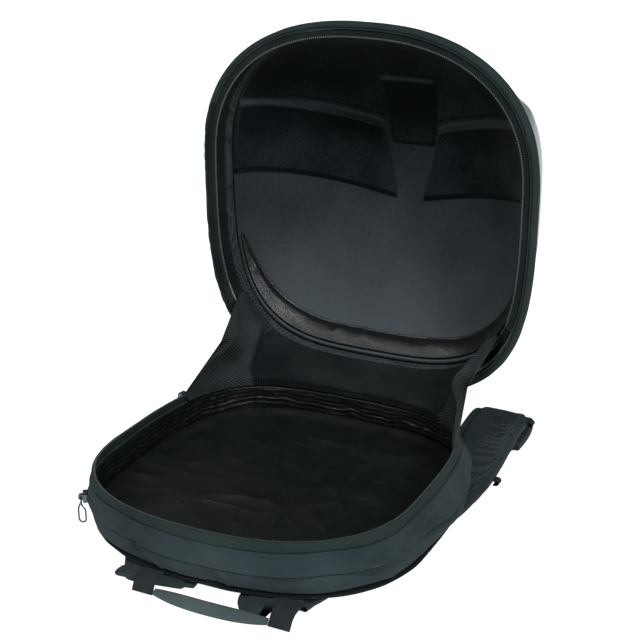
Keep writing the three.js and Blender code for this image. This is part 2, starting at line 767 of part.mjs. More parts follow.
// A nylon pocket that covers the hinge end of the lid's inside
function lidPocket() {
  const near = SHELL_WALL + GAP + LINING_THICKNESS + SLOT_DEPTH + 2 * GAP;
  const from = Math.asin((FACING_DEPTH + POCKET_START) / SHELL_DEPTH);
  const to = Math.asin(POCKET_DEPTH / SHELL_DEPTH);
  const across = steps(0, 1, 4);
  const loops = stationsBetween(-POCKET_END_SHARE, POCKET_END_SHARE).map((share) => {
    const angle = angleAt(share);
    const place = (out, depth) => {
      const turn = from + out * (to - from);
      const offset = depth + POCKET_BULGE * Math.sin(Math.PI * out);
      const shrink = Math.cos(turn) * (1 - offset / HALF_WIDTH);
      return opened(outline(angle, SHELL_INSET, (SHELL_DEPTH - offset) * Math.sin(turn), shrink));
    };
    const outside = across.map((out) => place(out, near));
    const inside = across.map((out) => place(out, near + CLOTH)).reverse();
    return [...outside, ...inside];
  });
  return mesh('lid_pocket', loft(loops), NYLON);
}

// Shoulder straps: each runs under the tray, comes out at the hinge end and folds back under itself

const STRAP_SIDE = STRAP_EDGE - STRAP_WIDTH / 2;
const ACROSS = new THREE.Vector3(1, 0, 0);

function strapShift(along) {
  return STRAP_TOP_SHIFT * THREE.MathUtils.clamp(along / STRAP_PATH[0].along, 0, 1) ** 2;
}

function shoulderStrap(name, side) {
  const path = STRAP_PATH.map(({ along, side: out, rise }) => ({
    x: side * out * STRAP_SIDE + strapShift(along),
    y: along * STRAP_REACH,
    z: STRAP_THICKNESS / 2 + rise * (STRAP_FOLD_HEIGHT - STRAP_THICKNESS / 2),
    width: STRAP_WIDTH,
    thickness: STRAP_THICKNESS,
    across: ACROSS,
  }));
  return mesh(name, strapAlong(path), MESH);
}

function strapWebbing(name, side) {
  const path = WEBBING_PATH.map(({ side: out, along, up }) => ({
    x: side * out * STRAP_SIDE,
    y: along * STRAP_REACH,
    z: up * STRAP_THICKNESS,
    width: WEBBING_WIDTH,
    thickness: WEBBING_THICKNESS,
    across: ACROSS,
  }));
  return mesh(name, strapAlong(path), WEBBING);
}

// A small tab of webbing, folded into a loop, on the outer edge of a strap
function strapLoop(name, side, along, z) {
  const edge = STRAP_EDGE + GAP;
  const [half, inner] = [LOOP_REACH / 2, LOOP_REACH / 2 - WEBBING_THICKNESS / 2];
  const shape = new THREE.Shape();
  shape.moveTo(0, -half);
  shape.lineTo(LOOP_REACH - half, -half);
  shape.absarc(LOOP_REACH - half, 0, half, -Math.PI / 2, Math.PI / 2);
  shape.lineTo(0, half);
  const hole = new THREE.Path();
  hole.absarc(LOOP_REACH - half, 0, inner, 0, 2 * Math.PI, true);
  shape.holes.push(hole);
  const loop = mesh(name, extruded(shape, LOOP_WIDTH, 5), WEBBING);
  loop.rotation.x = Math.PI / 2;
  if (side < 0) loop.rotation.y = Math.PI;
  loop.position.set(side * edge, along * STRAP_REACH + (side * LOOP_WIDTH) / 2, z);
  return loop;
}

// Carry handle at the handle end: two anchors of webbing and a bowed grip between them

// Where the edge of the back panel lies in front of a place x
function panelEdgeY(x) {
  const lean = 1 - SEAM_Z / RIM_HEIGHT;
  const wide = HALF_WIDTH - PANEL_INSET;
  const deep = HANDLE_HALF - PANEL_INSET;
  const side = Math.abs((x - LEAN_X * lean) / wide);
  const share = (1 - side ** HANDLE_END_POWER) ** (1 / HANDLE_END_POWER);
  return MIDDLE_Y - deep * share + LEAN_Y * lean;
}

const GRIP_FRONT = panelEdgeY(0) - HANDLE_REACH - HANDLE_BOW;
const GRIP_Z = (HANDLE_WIDTH * Math.sin(HANDLE_TILT) + HANDLE_THICKNESS * Math.cos(HANDLE_TILT)) / 2;

function gripY(x) {
  const away = x - HANDLE_SHIFT;
  const share = away / (HANDLE_SPAN / 2);
  return GRIP_FRONT + HANDLE_SKEW * away + HANDLE_BOW * share * share;
}

function handleGrip() {
  const half = (HANDLE_SPAN - ANCHOR_WIDTH) / 2 - GRIP_CLEARANCE;
  const across = new THREE.Vector3(0, Math.cos(HANDLE_TILT), Math.sin(HANDLE_TILT));
  const path = steps(HANDLE_SHIFT - half, HANDLE_SHIFT + half, 9).map((x) => ({
    x,
    y: gripY(x),
    z: GRIP_Z,
    width: HANDLE_WIDTH,
    thickness: HANDLE_THICKNESS,
    across,
  }));
  return mesh('handle_grip', strapAlong(path), SLATE_CLOTH);
}

function handleAnchor(name, side) {
  const x = HANDLE_SHIFT + (side * HANDLE_SPAN) / 2;
  const inner = x - (Math.sign(x) * ANCHOR_WIDTH) / 2;
  const start = panelEdgeY(inner) - GAP;
  const end = gripY(x);
  const path = ANCHOR_PATH.map(({ out, rise, fall }) => ({
    x,
    y: start + out * (end - start),
    z: (SEAM_Z + rise * (GRIP_Z - SEAM_Z)) * (1 - fall),
    width: ANCHOR_WIDTH,
    thickness: ANCHOR_THICKNESS,
    across: ACROSS,
  }));
  return mesh(name, strapAlong(path), WEBBING);
}

// Zip sliders and the wire pull; each is drawn at the wall with x outwards and y along the zip

function wallFrame(share, z, out) {
  const [x, y] = onFacet(share, (station) => wallInset(station, z), z);
  const before = Math.floor(share * STATIONS) / STATIONS;
  const [ax, ay] = trayOutline(angleAt(before), wallInset(before, z), z);
  const heading = Math.atan2(y - ay, x - ax) - Math.PI / 2;
  return { x: x + out * Math.cos(heading), y: y + out * Math.sin(heading), z, heading };
}

function setOnWall(piece, frame) {
  piece.position.set(frame.x, frame.y, frame.z);
  piece.rotation.z = frame.heading;
  return piece;
}

function toSolid(geometry) {
  const bare = geometry.clone();
  bare.deleteAttribute('normal');
  bare.deleteAttribute('uv');
  const merged = mergeVertices(bare, 1e-4);
  return new wasm.Manifold(new wasm.Mesh({
    numProp: 3,
    vertProperties: new Float32Array(merged.attributes.position.array),
    triVerts: new Uint32Array(merged.index.array),
  }));
}

function fromSolid(solid) {
  const result = solid.getMesh();
  const geometry = new THREE.BufferGeometry();
  geometry.setAttribute('position', new THREE.BufferAttribute(result.vertProperties, 3));
  geometry.setIndex(new THREE.BufferAttribute(result.triVerts, 1));
  geometry.computeVertexNormals();
  return geometry;
}

const BRIDGE_OUT = SLIDER_HEIGHT + PULL_WIRE / 2 + 2 * GAP;
const PULL_TWIST_START = -SLIDER_WIDTH / 2 - PULL_WIRE;
const PULL_TWIST_END = -PULL_LENGTH / 2;
const LOWER_ZIP_MIDDLE = LOWER_ZIP_TOP - LOWER_ZIP_HEIGHT / 2;

function lowerSlider() {
  const body = new THREE.BoxGeometry(SLIDER_HEIGHT, SLIDER_LENGTH, SLIDER_WIDTH);
  body.translate(SLIDER_HEIGHT / 2, 0, 0);
  const length = PULL_WIDTH - 2 * PULL_WIRE - 3 * GAP;
  const foot = SLIDER_HEIGHT - BRIDGE_FOOT;
  const shape = new THREE.Shape();
  shape.moveTo(foot, -BRIDGE_RADIUS);
  shape.lineTo(BRIDGE_OUT, -BRIDGE_RADIUS);
  shape.absarc(BRIDGE_OUT, 0, BRIDGE_RADIUS, -Math.PI / 2, Math.PI / 2);
  shape.lineTo(foot, BRIDGE_RADIUS);
  const hole = new THREE.Path();
  hole.absarc(BRIDGE_OUT, 0, BRIDGE_BORE, 0, 2 * Math.PI, true);
  shape.holes.push(hole);
  const bridge = extruded(shape, length, 8);
  bridge.translate(0, 0, -length / 2);
  bridge.rotateX(Math.PI / 2);
  const slider = fromSolid(toSolid(body).add(toSolid(bridge)));
  const frame = wallFrame(PULL_SHARE, LOWER_ZIP_MIDDLE, WALL_CLEARANCE);
  return setOnWall(mesh('lower_slider', slider, GUNMETAL), frame);
}

// The pull's wire as a closed line: round at the bottom, with two rounded corners at the bridge
function pullRoute() {
  const half = (PULL_WIDTH - PULL_WIRE) / 2;
  const drop = PULL_LENGTH - PULL_WIRE - half;
  const arc = (y, z, radius, from, to, count) => steps(from, to, count).map((turn) => {
    return [y + radius * Math.cos(turn), z + radius * Math.sin(turn)];
  });
  const leg = steps(PULL_TWIST_END, PULL_TWIST_START, 4);
  return [
    ...leg.toReversed().map((z) => [-half, z]),
    ...arc(0, -drop, half, Math.PI, 2 * Math.PI, 7),
    ...leg.map((z) => [half, z]),
    ...arc(half - PULL_CORNER, -PULL_CORNER, PULL_CORNER, 0, Math.PI / 2, 4),
    ...arc(-half + PULL_CORNER, -PULL_CORNER, PULL_CORNER, Math.PI / 2, Math.PI, 4),
  ];
}

// The wire's lower part is bent round, so that the loop stands out from the wall
function lowerPull() {
  const route = pullRoute();
  const bend = (out, along, z) => {
    const turn = PULL_TWIST * smooth(PULL_TWIST_START, PULL_TWIST_END, z);
    const [c, s] = [Math.cos(turn), Math.sin(turn)];
    return [out * c - along * s, out * s + along * c, z];
  };
  const sides = steps(0, 2 * Math.PI, WIRE_SIDES + 1).slice(0, WIRE_SIDES);
  const loops = route.map(([y, z], i) => {
    const before = new THREE.Vector2(...route.at(i - 1));
    const after = new THREE.Vector2(...route[(i + 1) % route.length]);
    const ahead = after.sub(before).normalize();
    return sides.map((turn) => {
      const side = (PULL_WIRE / 2) * Math.cos(turn);
      return bend((PULL_WIRE / 2) * Math.sin(turn), y + ahead.y * side, z - ahead.x * side);
    });
  });
  const frame = wallFrame(PULL_SHARE, LOWER_ZIP_MIDDLE, WALL_CLEARANCE + BRIDGE_OUT);
  return setOnWall(mesh('lower_pull', loft(loops, true), GUNMETAL), frame);
}

// A plain slider with its tab; both are parked at the left end of the main zip
function mainSlider(name, share) {
  const z = (UPPER_WALL_TOP + RIM_HEIGHT) / 2;
  const half = SLIDER_WIDTH / 2;
  const lean = wallInset(share, z) - wallInset(share, z - half);
  const flare = wallInset(share, z - half) - wallInset(share, z - MAIN_TAB_LENGTH);
  const tab = SLIDER_HEIGHT + flare;
  const corners = [
    [0, -half],
    [SLIDER_HEIGHT - MAIN_TAB_THICKNESS / 2, -half],
    [tab, -MAIN_TAB_LENGTH],
    [tab + MAIN_TAB_THICKNESS, -MAIN_TAB_LENGTH],
    [SLIDER_HEIGHT + MAIN_TAB_THICKNESS / 2, half],
    [0, half],
  ];
  const shape = new THREE.Shape(corners.map(([out, up]) => new THREE.Vector2(out, up)));
  const geometry = extruded(shape, SLIDER_WIDTH, 1);
  geometry.translate(0, 0, -SLIDER_WIDTH / 2);
  geometry.rotateX(Math.PI / 2);
  return setOnWall(mesh(name, geometry, GUNMETAL), wallFrame(share, z, WALL_CLEARANCE + lean));
}

const part = new THREE.Group();
part.add(makeLid());
part.add(trayWallUpper(), trayWallLower(), lowerZipTape(), trayZipTape(), trayLining());
part.add(backPanel(), backPad(), hingePanel(), lidPocket());
part.add(lowerSlider(), lowerPull());
part.add(mainSlider('main_slider_rear', ZIP_END_SHARE));
part.add(mainSlider('main_slider_front', ZIP_END_SHARE + SLIDER_STEP));
part.add(handleGrip());
for (const [name, side] of [['left', -1], ['right', 1]]) {
  part.add(handleAnchor(`handle_anchor_${name}`, side));
  part.add(gusset(`gusset_${name}`, side));
  part.add(shoulderStrap(`strap_${name}`, side));
  part.add(strapWebbing(`strap_webbing_${name}`, side));
  part.add(strapLoop(`strap_tip_loop_${name}`, side, 0.9, STRAP_FOLD_HEIGHT));
  part.add(strapLoop(`strap_side_loop_${name}`, side, 0.52, STRAP_THICKNESS / 2));
}

export default part;
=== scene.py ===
"""A hard shell backpack that lies open on its padded back, with its lid upright. Metres, +Z up."""

import math

import bpy
import numpy as np
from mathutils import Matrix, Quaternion, Vector


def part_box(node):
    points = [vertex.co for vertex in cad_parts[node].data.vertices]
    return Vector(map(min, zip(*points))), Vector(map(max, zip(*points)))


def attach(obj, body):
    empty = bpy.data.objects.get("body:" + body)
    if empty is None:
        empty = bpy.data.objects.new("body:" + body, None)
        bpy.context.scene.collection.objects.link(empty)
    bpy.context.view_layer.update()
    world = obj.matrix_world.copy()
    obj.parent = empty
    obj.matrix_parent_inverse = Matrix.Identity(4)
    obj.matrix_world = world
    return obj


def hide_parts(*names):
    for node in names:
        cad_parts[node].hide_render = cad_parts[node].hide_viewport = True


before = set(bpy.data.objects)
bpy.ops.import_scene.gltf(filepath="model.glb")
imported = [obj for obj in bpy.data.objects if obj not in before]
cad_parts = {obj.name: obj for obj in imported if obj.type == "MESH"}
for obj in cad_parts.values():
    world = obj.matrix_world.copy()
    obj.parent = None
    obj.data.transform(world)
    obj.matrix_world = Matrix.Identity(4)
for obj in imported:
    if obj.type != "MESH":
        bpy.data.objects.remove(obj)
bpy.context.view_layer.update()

MM = 0.001

# Sizes that the frame gives
RIM_LOW, RIM_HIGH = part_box("lid_rim")
HALF_WIDTH = RIM_HIGH.x
RIM_LENGTH = RIM_HIGH.z - RIM_LOW.z
RIM_HEIGHT = RIM_LOW.z
LID_RIM_BACK = 6 * MM
HINGE_Y = RIM_HIGH.y - LID_RIM_BACK
WALL_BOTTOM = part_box("tray_wall_lower")[0].z
UPPER_WALL_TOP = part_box("tray_wall_upper")[1].z
LOWER_ZIP_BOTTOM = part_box("lower_zip_tape")[0].z
LOWER_ZIP_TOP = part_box("lower_zip_tape")[1].z
TRAY_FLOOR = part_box("tray_lining")[0].z
PANEL_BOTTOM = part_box("back_panel")[0].z
PANEL_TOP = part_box("back_panel")[1].z
PAD_LOW, PAD_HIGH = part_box("back_pad")

# Outline of the zip line: two half superellipses, rounder at the handle end
WIDEST_SHARE = 0.59
HANDLE_END_POWER = 2.37
HINGE_END_POWER = 3.46
HINGE_HALF = WIDEST_SHARE * RIM_LENGTH
HANDLE_HALF = RIM_LENGTH - HINGE_HALF
MIDDLE_Y = HINGE_Y - HINGE_HALF
LEAN_X = 5 * MM
LEAN_Y = 6 * MM

# Lid
SHELL_DEPTH = 135 * MM
SHELL_INSET = 6 * MM
SHELL_WALL = 2.5 * MM
FACING_DEPTH = 30 * MM
LINING_THICKNESS = 4.5 * MM
POCKET_DEPTH = 58 * MM
GAP = 0.4 * MM
CLOTH = 1.5 * MM

# Outside of the tray wall, height above the floor and how far in from the zip line, in millimetres
WALL_HEIGHTS = [16, 19.8, 28.2, 35.8, 44.2, 54.4, 64]
WALL_INSETS = [23, 19, 16.5, 16.5, 18.5, 22, 25]
WALL_THICKNESS = 4 * MM

# Soft dents in the tray wall: place and spread are shares of the way round, depth in millimetres
WALL_FOLDS = [
    (0.29, 0.03, 3.2), (0.43, 0.025, 3.6), (0.5, 0.03, -1.6), (0.61, 0.025, 4.0),
    (0.66, 0.02, -2.0), (0.71, 0.025, 3.6), (0.8, 0.03, 2.8),
]

STATIONS = 480


def smoothstep(low, high, value):
    t = np.clip((value - low) / (high - low), 0, 1)
    return t * t * (3 - 2 * t)


def beside(*grids):
    """One grid of grids whose columns follow each other."""
    return np.concatenate(grids, axis=1)


def unit(vectors):
    return vectors / np.linalg.norm(vectors, axis=-1, keepdims=True)


def hashed(cells, seed):
    """A repeatable number from 0 to 1 for each cell of a lattice."""
    mixed = np.sin(cells @ np.array([127.1, 311.7, 74.7]) + seed * 17.17) * 43758.5453
    return mixed - np.floor(mixed)


def noise(points, scale, seed=0):
    """Smooth noise from 0 to 1 at points of three coordinates."""
    points = np.asarray(points, float) / scale
    cell = np.floor(points)
    part = points - cell
    part = part * part * (3 - 2 * part)
    total = 0.0
    for corner in np.ndindex(2, 2, 2):
        corner = np.array(corner)
        weight = np.prod(np.where(corner == 1, part, 1 - part), axis=-1)
        total = total + weight * hashed(cell + corner, seed)
    return total


def ridges(points, scale, seed=0):
    """Sharp creases from 0 to 1, where smooth noise crosses its middle."""
    return (1 - np.abs(2 * noise(points, scale, seed) - 1)) ** 3


def outline(angle, inset, shrink=1.0):
    c, s = np.cos(angle), np.sin(angle)
    exponent = np.where(s > 0, 2 / HINGE_END_POWER, 2 / HANDLE_END_POWER)
    reach = np.where(s > 0, HINGE_HALF, HANDLE_HALF) - inset
    x = shrink * (HALF_WIDTH - inset) * np.sign(c) * np.abs(c) ** exponent
    y = MIDDLE_Y + shrink * reach * np.sign(s) * np.abs(s) ** exponent
    return x, y


DENSE_ANGLES = math.pi / 2 + np.linspace(0, 2 * math.pi, 5761)
DENSE_X, DENSE_Y = outline(DENSE_ANGLES, 0)
WALKED = np.concatenate([[0], np.cumsum(np.hypot(np.diff(DENSE_X), np.diff(DENSE_Y)))])


def angle_at(share):
    """Angle at a share of the way round; 0 is the hinge's middle, 0.25 the left, 0.5 the handle."""
    share = np.asarray(share, float)
    turns = np.floor(share)
    return np.interp((share - turns) * WALKED[-1], WALKED, DENSE_ANGLES) + 2 * math.pi * turns


def on_tray(share, inset, z, shrink=1.0):
    """A point of the tray, which leans: its foot lies further right and to the hinge."""
    share, inset, z, shrink = np.broadcast_arrays(share, inset, z, shrink)
    x, y = outline(angle_at(share), inset, shrink)
    lean = 1 - z / RIM_HEIGHT
    return np.stack([x + LEAN_X * lean, y + LEAN_Y * lean, z], axis=-1)


def open_lid(x, y, depth):
    """Turns a point of the closed lid up with the lid; depth is its height over the zip plane."""
    return np.stack(np.broadcast_arrays(x, HINGE_Y + depth, RIM_HEIGHT + HINGE_Y - y), axis=-1)


def on_lid(share, inset, depth):
    share, inset, depth = np.broadcast_arrays(share, inset, depth)
    x, y = outline(angle_at(share), inset)
    return open_lid(x, y, depth)


def on_dome(share, turn, offset):
    """A point of the lid's dome, offset inwards from the shell; turn 0 is at the zip plane."""
    share, turn, offset = np.broadcast_arrays(share, turn, offset)
    shrink = np.cos(turn) * (1 - offset / HALF_WIDTH)
    x, y = outline(angle_at(share), SHELL_INSET, shrink)
    return open_lid(x, y, (SHELL_DEPTH - offset) * np.sin(turn))


def turn_at(depth):
    return math.asin(depth / SHELL_DEPTH)


SIDE_SWELL = 9 * MM
SWELL_TURN = 0.5
SWELL_FROM = 0.195
SWELL_FADE = 0.03
SWELL_TO = 0.356
SWELL_SHOULDER = 0.014


def side_swell(share, turn):
    """How far the shell's sides swell out past the plain dome."""
    side = np.minimum(share, 1 - share)
    start = smoothstep(SWELL_FROM - SWELL_FADE, SWELL_FROM + SWELL_FADE, side)
    end = 1 - smoothstep(SWELL_TO - SWELL_SHOULDER, SWELL_TO + SWELL_SHOULDER, side)
    before = (SWELL_TURN - turn) / (SWELL_TURN - turn_at(FACING_DEPTH))
    past = np.clip(np.maximum(before, turn - SWELL_TURN), 0, 1)
    return SIDE_SWELL * start * end * np.cos(past * math.pi / 2) ** 1.5


def ring(count=STATIONS):
    return np.arange(count)[:, None] / count


def stretch(start, end, count):
    return np.linspace(start, end, count)[:, None]


def spline(points, per_span, closed=False):
    """A smooth curve through points of any dimension."""
    points = np.asarray(points, float)
    if closed:
        padded = np.concatenate([points[-1:], points, points[:2]])
    else:
        first = 2 * points[0] - points[1]
        last = 2 * points[-1] - points[-2]
        padded = np.concatenate([[first], points, [last]])
    t = np.linspace(0, 1, per_span, endpoint=False)[:, None]
    out = []
    for a, b, c, d in zip(padded, padded[1:], padded[2:], padded[3:]):
        square = 2 * a - 5 * b + 4 * c - d
        cubic = 3 * b - a - 3 * c + d
        out.append(0.5 * (2 * b + (c - a) * t + square * t**2 + cubic * t**3))
    if not closed:
        out.append(points[-1:])
    return np.concatenate(out)


def rounded(corners, radius):
    """A closed section whose corners are rounded; corners in millimetres, result in metres."""
    corners = np.asarray(corners, float)
    out = []
    for k, corner in enumerate(corners):
        ends = []
        for other in (corners[k - 1], corners[(k + 1) % len(corners)]):
            away = other - corner
            length = np.linalg.norm(away)
            ends.append(corner + away / length * min(radius, 0.45 * length))
        for t in np.linspace(0, 1, 4):
            out.append((1 - t) ** 2 * ends[0] + 2 * t * (1 - t) * corner + t**2 * ends[1])
    return np.array(out) * MM


def refined(section, spacing):
    """The same closed section with more points on its long straights."""
    out = []
    for a, b in zip(section, np.roll(section, -1, axis=0)):
        count = max(1, int(np.linalg.norm(b - a) / spacing))
        out.extend(a + (b - a) * k / count for k in range(count))
    return np.array(out)


def flat_section(half, rise, radius):
    """The section of a flat band from its half width and half thickness, in millimetres."""
    corners = [(half, rise), (-half, rise), (-half, -rise), (half, -rise)]
    return refined(rounded(corners, radius), 2 * MM)


# Lines where the wall cloth lies over itself: places round the tray and heights in millimetres, with the
# line's rise and its half width in millimetres
WALL_LINES = [
    ([(0.81, 57), (0.797, 54.5), (0.764, 50), (0.728, 46.5), (0.695, 40.5)], 3.2, 1.8),
    ([(0.84, 49), (0.80, 41), (0.773, 33), (0.75, 30), (0.728, 31.5), (0.70, 34), (0.674, 36.5)], 1.8, 2.4),
    ([(0.395, 48), (0.425, 45), (0.45, 42.5), (0.475, 41)], 1.1, 2.6),
    ([(0.452, 35), (0.458, 31), (0.466, 26), (0.472, 21)], 2.2, 2.6),
    ([(0.52, 34), (0.527, 29), (0.532, 24), (0.53, 18)], 1.7, 3.0),
    ([(0.60, 34), (0.63, 30), (0.65, 26), (0.665, 20)], 1.6, 3.2),
    ([(0.37, 30), (0.385, 27), (0.40, 22)], 1.2, 2.8),
]
# Dents (and bulges, below 0) beside those lines: place, height, spread round the tray and up, depth
WALL_DENTS = [
    (0.444, 31, 9, 7, 6.5),
    (0.47, 46, 18, 5, 1.6),
    (0.517, 26, 9, 8, 4.8),
    (0.575, 30, 26, 5, 2.0),
    (0.648, 33, 14, 8, 5.2),
    (0.70, 44, 16, 6, 2.2),
    (0.375, 31, 22, 8, 3.4),
    (0.765, 32, 46, 13, -9.0),
    (0.60, 26, 30, 7, -2.0),
    (0.49, 27, 16, 7, -2.0),
]


def wall_details(share, z):
    """How far the wall's lines stand out and its dents lie in, in metres."""
    share, z = np.broadcast_arrays(share, z)
    round_mm, high = share * WALKED[-1] / MM, z / MM
    total = np.zeros(share.shape)
    for line, rise, half in WALL_LINES:
        nearest = np.full(share.shape, 1e9)
        places = [(at * WALKED[-1] / MM, height) for at, height in line]
        for start, end in zip(places, places[1:]):
            nearest = np.minimum(nearest, segment_distance(round_mm, high, start, end))
        total = total + rise * np.exp(-((nearest / half) ** 2))
    for at, height, wide, tall, depth in WALL_DENTS:
        away = (round_mm - at * WALKED[-1] / MM) / wide
        total = total - depth * np.exp(-(away**2) - ((high - height) / tall) ** 2)
    return total * MM


def wall_inset(share, z):
    """How far in from the zip line the outside of the tray wall lies, with its soft dents."""
    base = np.interp(z / MM, WALL_HEIGHTS, WALL_INSETS) * MM
    up = np.clip((z - WALL_BOTTOM) / (RIM_HEIGHT - WALL_BOTTOM), 0, 1)
    height = np.sin(math.pi * up)
    for place, spread, depth in WALL_FOLDS:
        base = base + depth * MM * np.exp(-(((share - place) / spread) ** 2)) * height
    return base


def segment_distance(x, y, start, end):
    """How far places lie from a straight line between two points."""
    dx, dy = end[0] - start[0], end[1] - start[1]
    t = np.clip(((x - start[0]) * dx + (y - start[1]) * dy) / (dx * dx + dy * dy), 0, 1)
    return np.hypot(x - start[0] - t * dx, y - start[1] - t * dy)


def running(points, axis, closed):
    """Mean distance walked along one axis of a grid of points."""
    if closed:
        points = np.append(points, np.take(points, [0], axis=axis), axis=axis)
    lengths = np.linalg.norm(np.diff(points, axis=axis), axis=-1).mean(axis=1 - axis)
    return np.concatenate([[0], np.cumsum(lengths)])


def placed(name, data):
    """An object for a mesh, a light or a camera, in the scene."""
    thing = bpy.data.objects.new(name, data)
    bpy.context.scene.collection.objects.link(thing)
    return thing


def grid_mesh(name, points, closed=(True, True), caps=False):
    """An object from a grid of points, with a UV map in metres. Rows run along the piece."""
    points = np.asarray(points, float)
    rows, columns = points.shape[:2]
    face_rows = np.arange(rows - (not closed[0]))
    face_columns = np.arange(columns - (not closed[1]))
    i, j = (index.ravel() for index in np.meshgrid(face_rows, face_columns, indexing="ij"))
    i_next, j_next = (i + 1) % rows, (j + 1) % columns
    corners = [(i, j), (i_next, j), (i_next, j_next), (i, j_next)]
    quads = np.stack([row * columns + column for row, column in corners], axis=1)
    u, v = running(points, 0, closed[0]), running(points, 1, closed[1])
    places = [(u[i], v[j]), (u[i + 1], v[j]), (u[i + 1], v[j + 1]), (u[i], v[j + 1])]
    uvs = np.stack([np.stack(place, axis=1) for place in places], axis=1)
    vertices = points.reshape(-1, 3)
    faces = quads.tolist()
    uv_list = uvs.reshape(-1, 2).tolist()
    if caps:
        for row, forward in ((0, False), (rows - 1, True)):
            centre = len(vertices)
            vertices = np.concatenate([vertices, points[row].mean(axis=0)[None]])
            for k in range(columns):
                a, b = row * columns + k, row * columns + (k + 1) % columns
                faces.append([a, b, centre] if forward else [b, a, centre])
                uv_list.extend([[v[k], 0], [v[k + 1], 0], [v[k], v[1]]])
    triangles = vertices[quads[:, [0, 1, 2]]], vertices[quads[:, [0, 2, 3]]]
    volume = sum(np.einsum("ij,ij->i", t[:, 0], np.cross(t[:, 1], t[:, 2])).sum() for t in triangles)
    mesh = bpy.data.meshes.new(name)
    mesh.from_pydata(vertices.tolist(), [], faces)
    layer = mesh.uv_layers.new(name="UVMap")
    layer.data.foreach_set("uv", np.array(uv_list, np.float32).ravel())
    if volume < 0:
        mesh.flip_normals()
    mesh.shade_smooth()
    return placed(name, mesh)


def loft(name, points):
    """A grid mesh that is closed across, open along and capped at both ends."""
    return grid_mesh(name, points, (False, True), caps=True)


def paint(piece, slots):
    """Gives each face of a grid its material's number, row by row; caps keep the first material."""
    numbers = np.zeros(len(piece.data.polygons), np.int32)
    numbers[: slots.size] = slots.ravel()
    piece.data.polygons.foreach_set("material_index", numbers)


def dress(piece, materials, slot, *nodes):
    """Gives a piece its materials and hides the CAD nodes it stands for; it rides on the pack. The slot is
    not used.
    """
    for look in materials if isinstance(materials, list) else [materials]:
        piece.data.materials.append(look)
    if nodes:
        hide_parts(*nodes)
    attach(piece, "pack")
    return piece


def mark(piece, name, values, skipped):
    """Keeps a number at each point of a grid; its first columns, as many as skipped, get 0."""
    values = beside(np.zeros((values.shape[0], skipped)), values).T.ravel()
    numbers = np.zeros(len(piece.data.vertices), np.float32)
    numbers[: len(values)] = values
    layer = piece.data.attributes.new(name, "FLOAT", "POINT")
    layer.data.foreach_set("value", numbers)


def planar_uv(piece, first, second):
    """Maps a piece by two of its three axes, in metres."""
    mesh = piece.data
    places = np.empty(3 * len(mesh.vertices), np.float32)
    mesh.vertices.foreach_get("co", places)
    corners = np.empty(len(mesh.loops), np.int32)
    mesh.loops.foreach_get("vertex_index", corners)
    mesh.uv_layers[0].data.foreach_set("uv", places.reshape(-1, 3)[corners][:, [first, second]].ravel())


def joined(name, parts):
    """One mesh object from several lists of vertices and faces."""
    vertices, faces = [], []
    for part_vertices, part_faces in parts:
        start = len(vertices)
        vertices.extend(part_vertices)
        faces.extend([[start + k for k in face] for face in part_faces])
    mesh = bpy.data.meshes.new(name)
    mesh.from_pydata([tuple(v) for v in vertices], [], faces)
    mesh.update()
    return placed(name, mesh)


# Materials


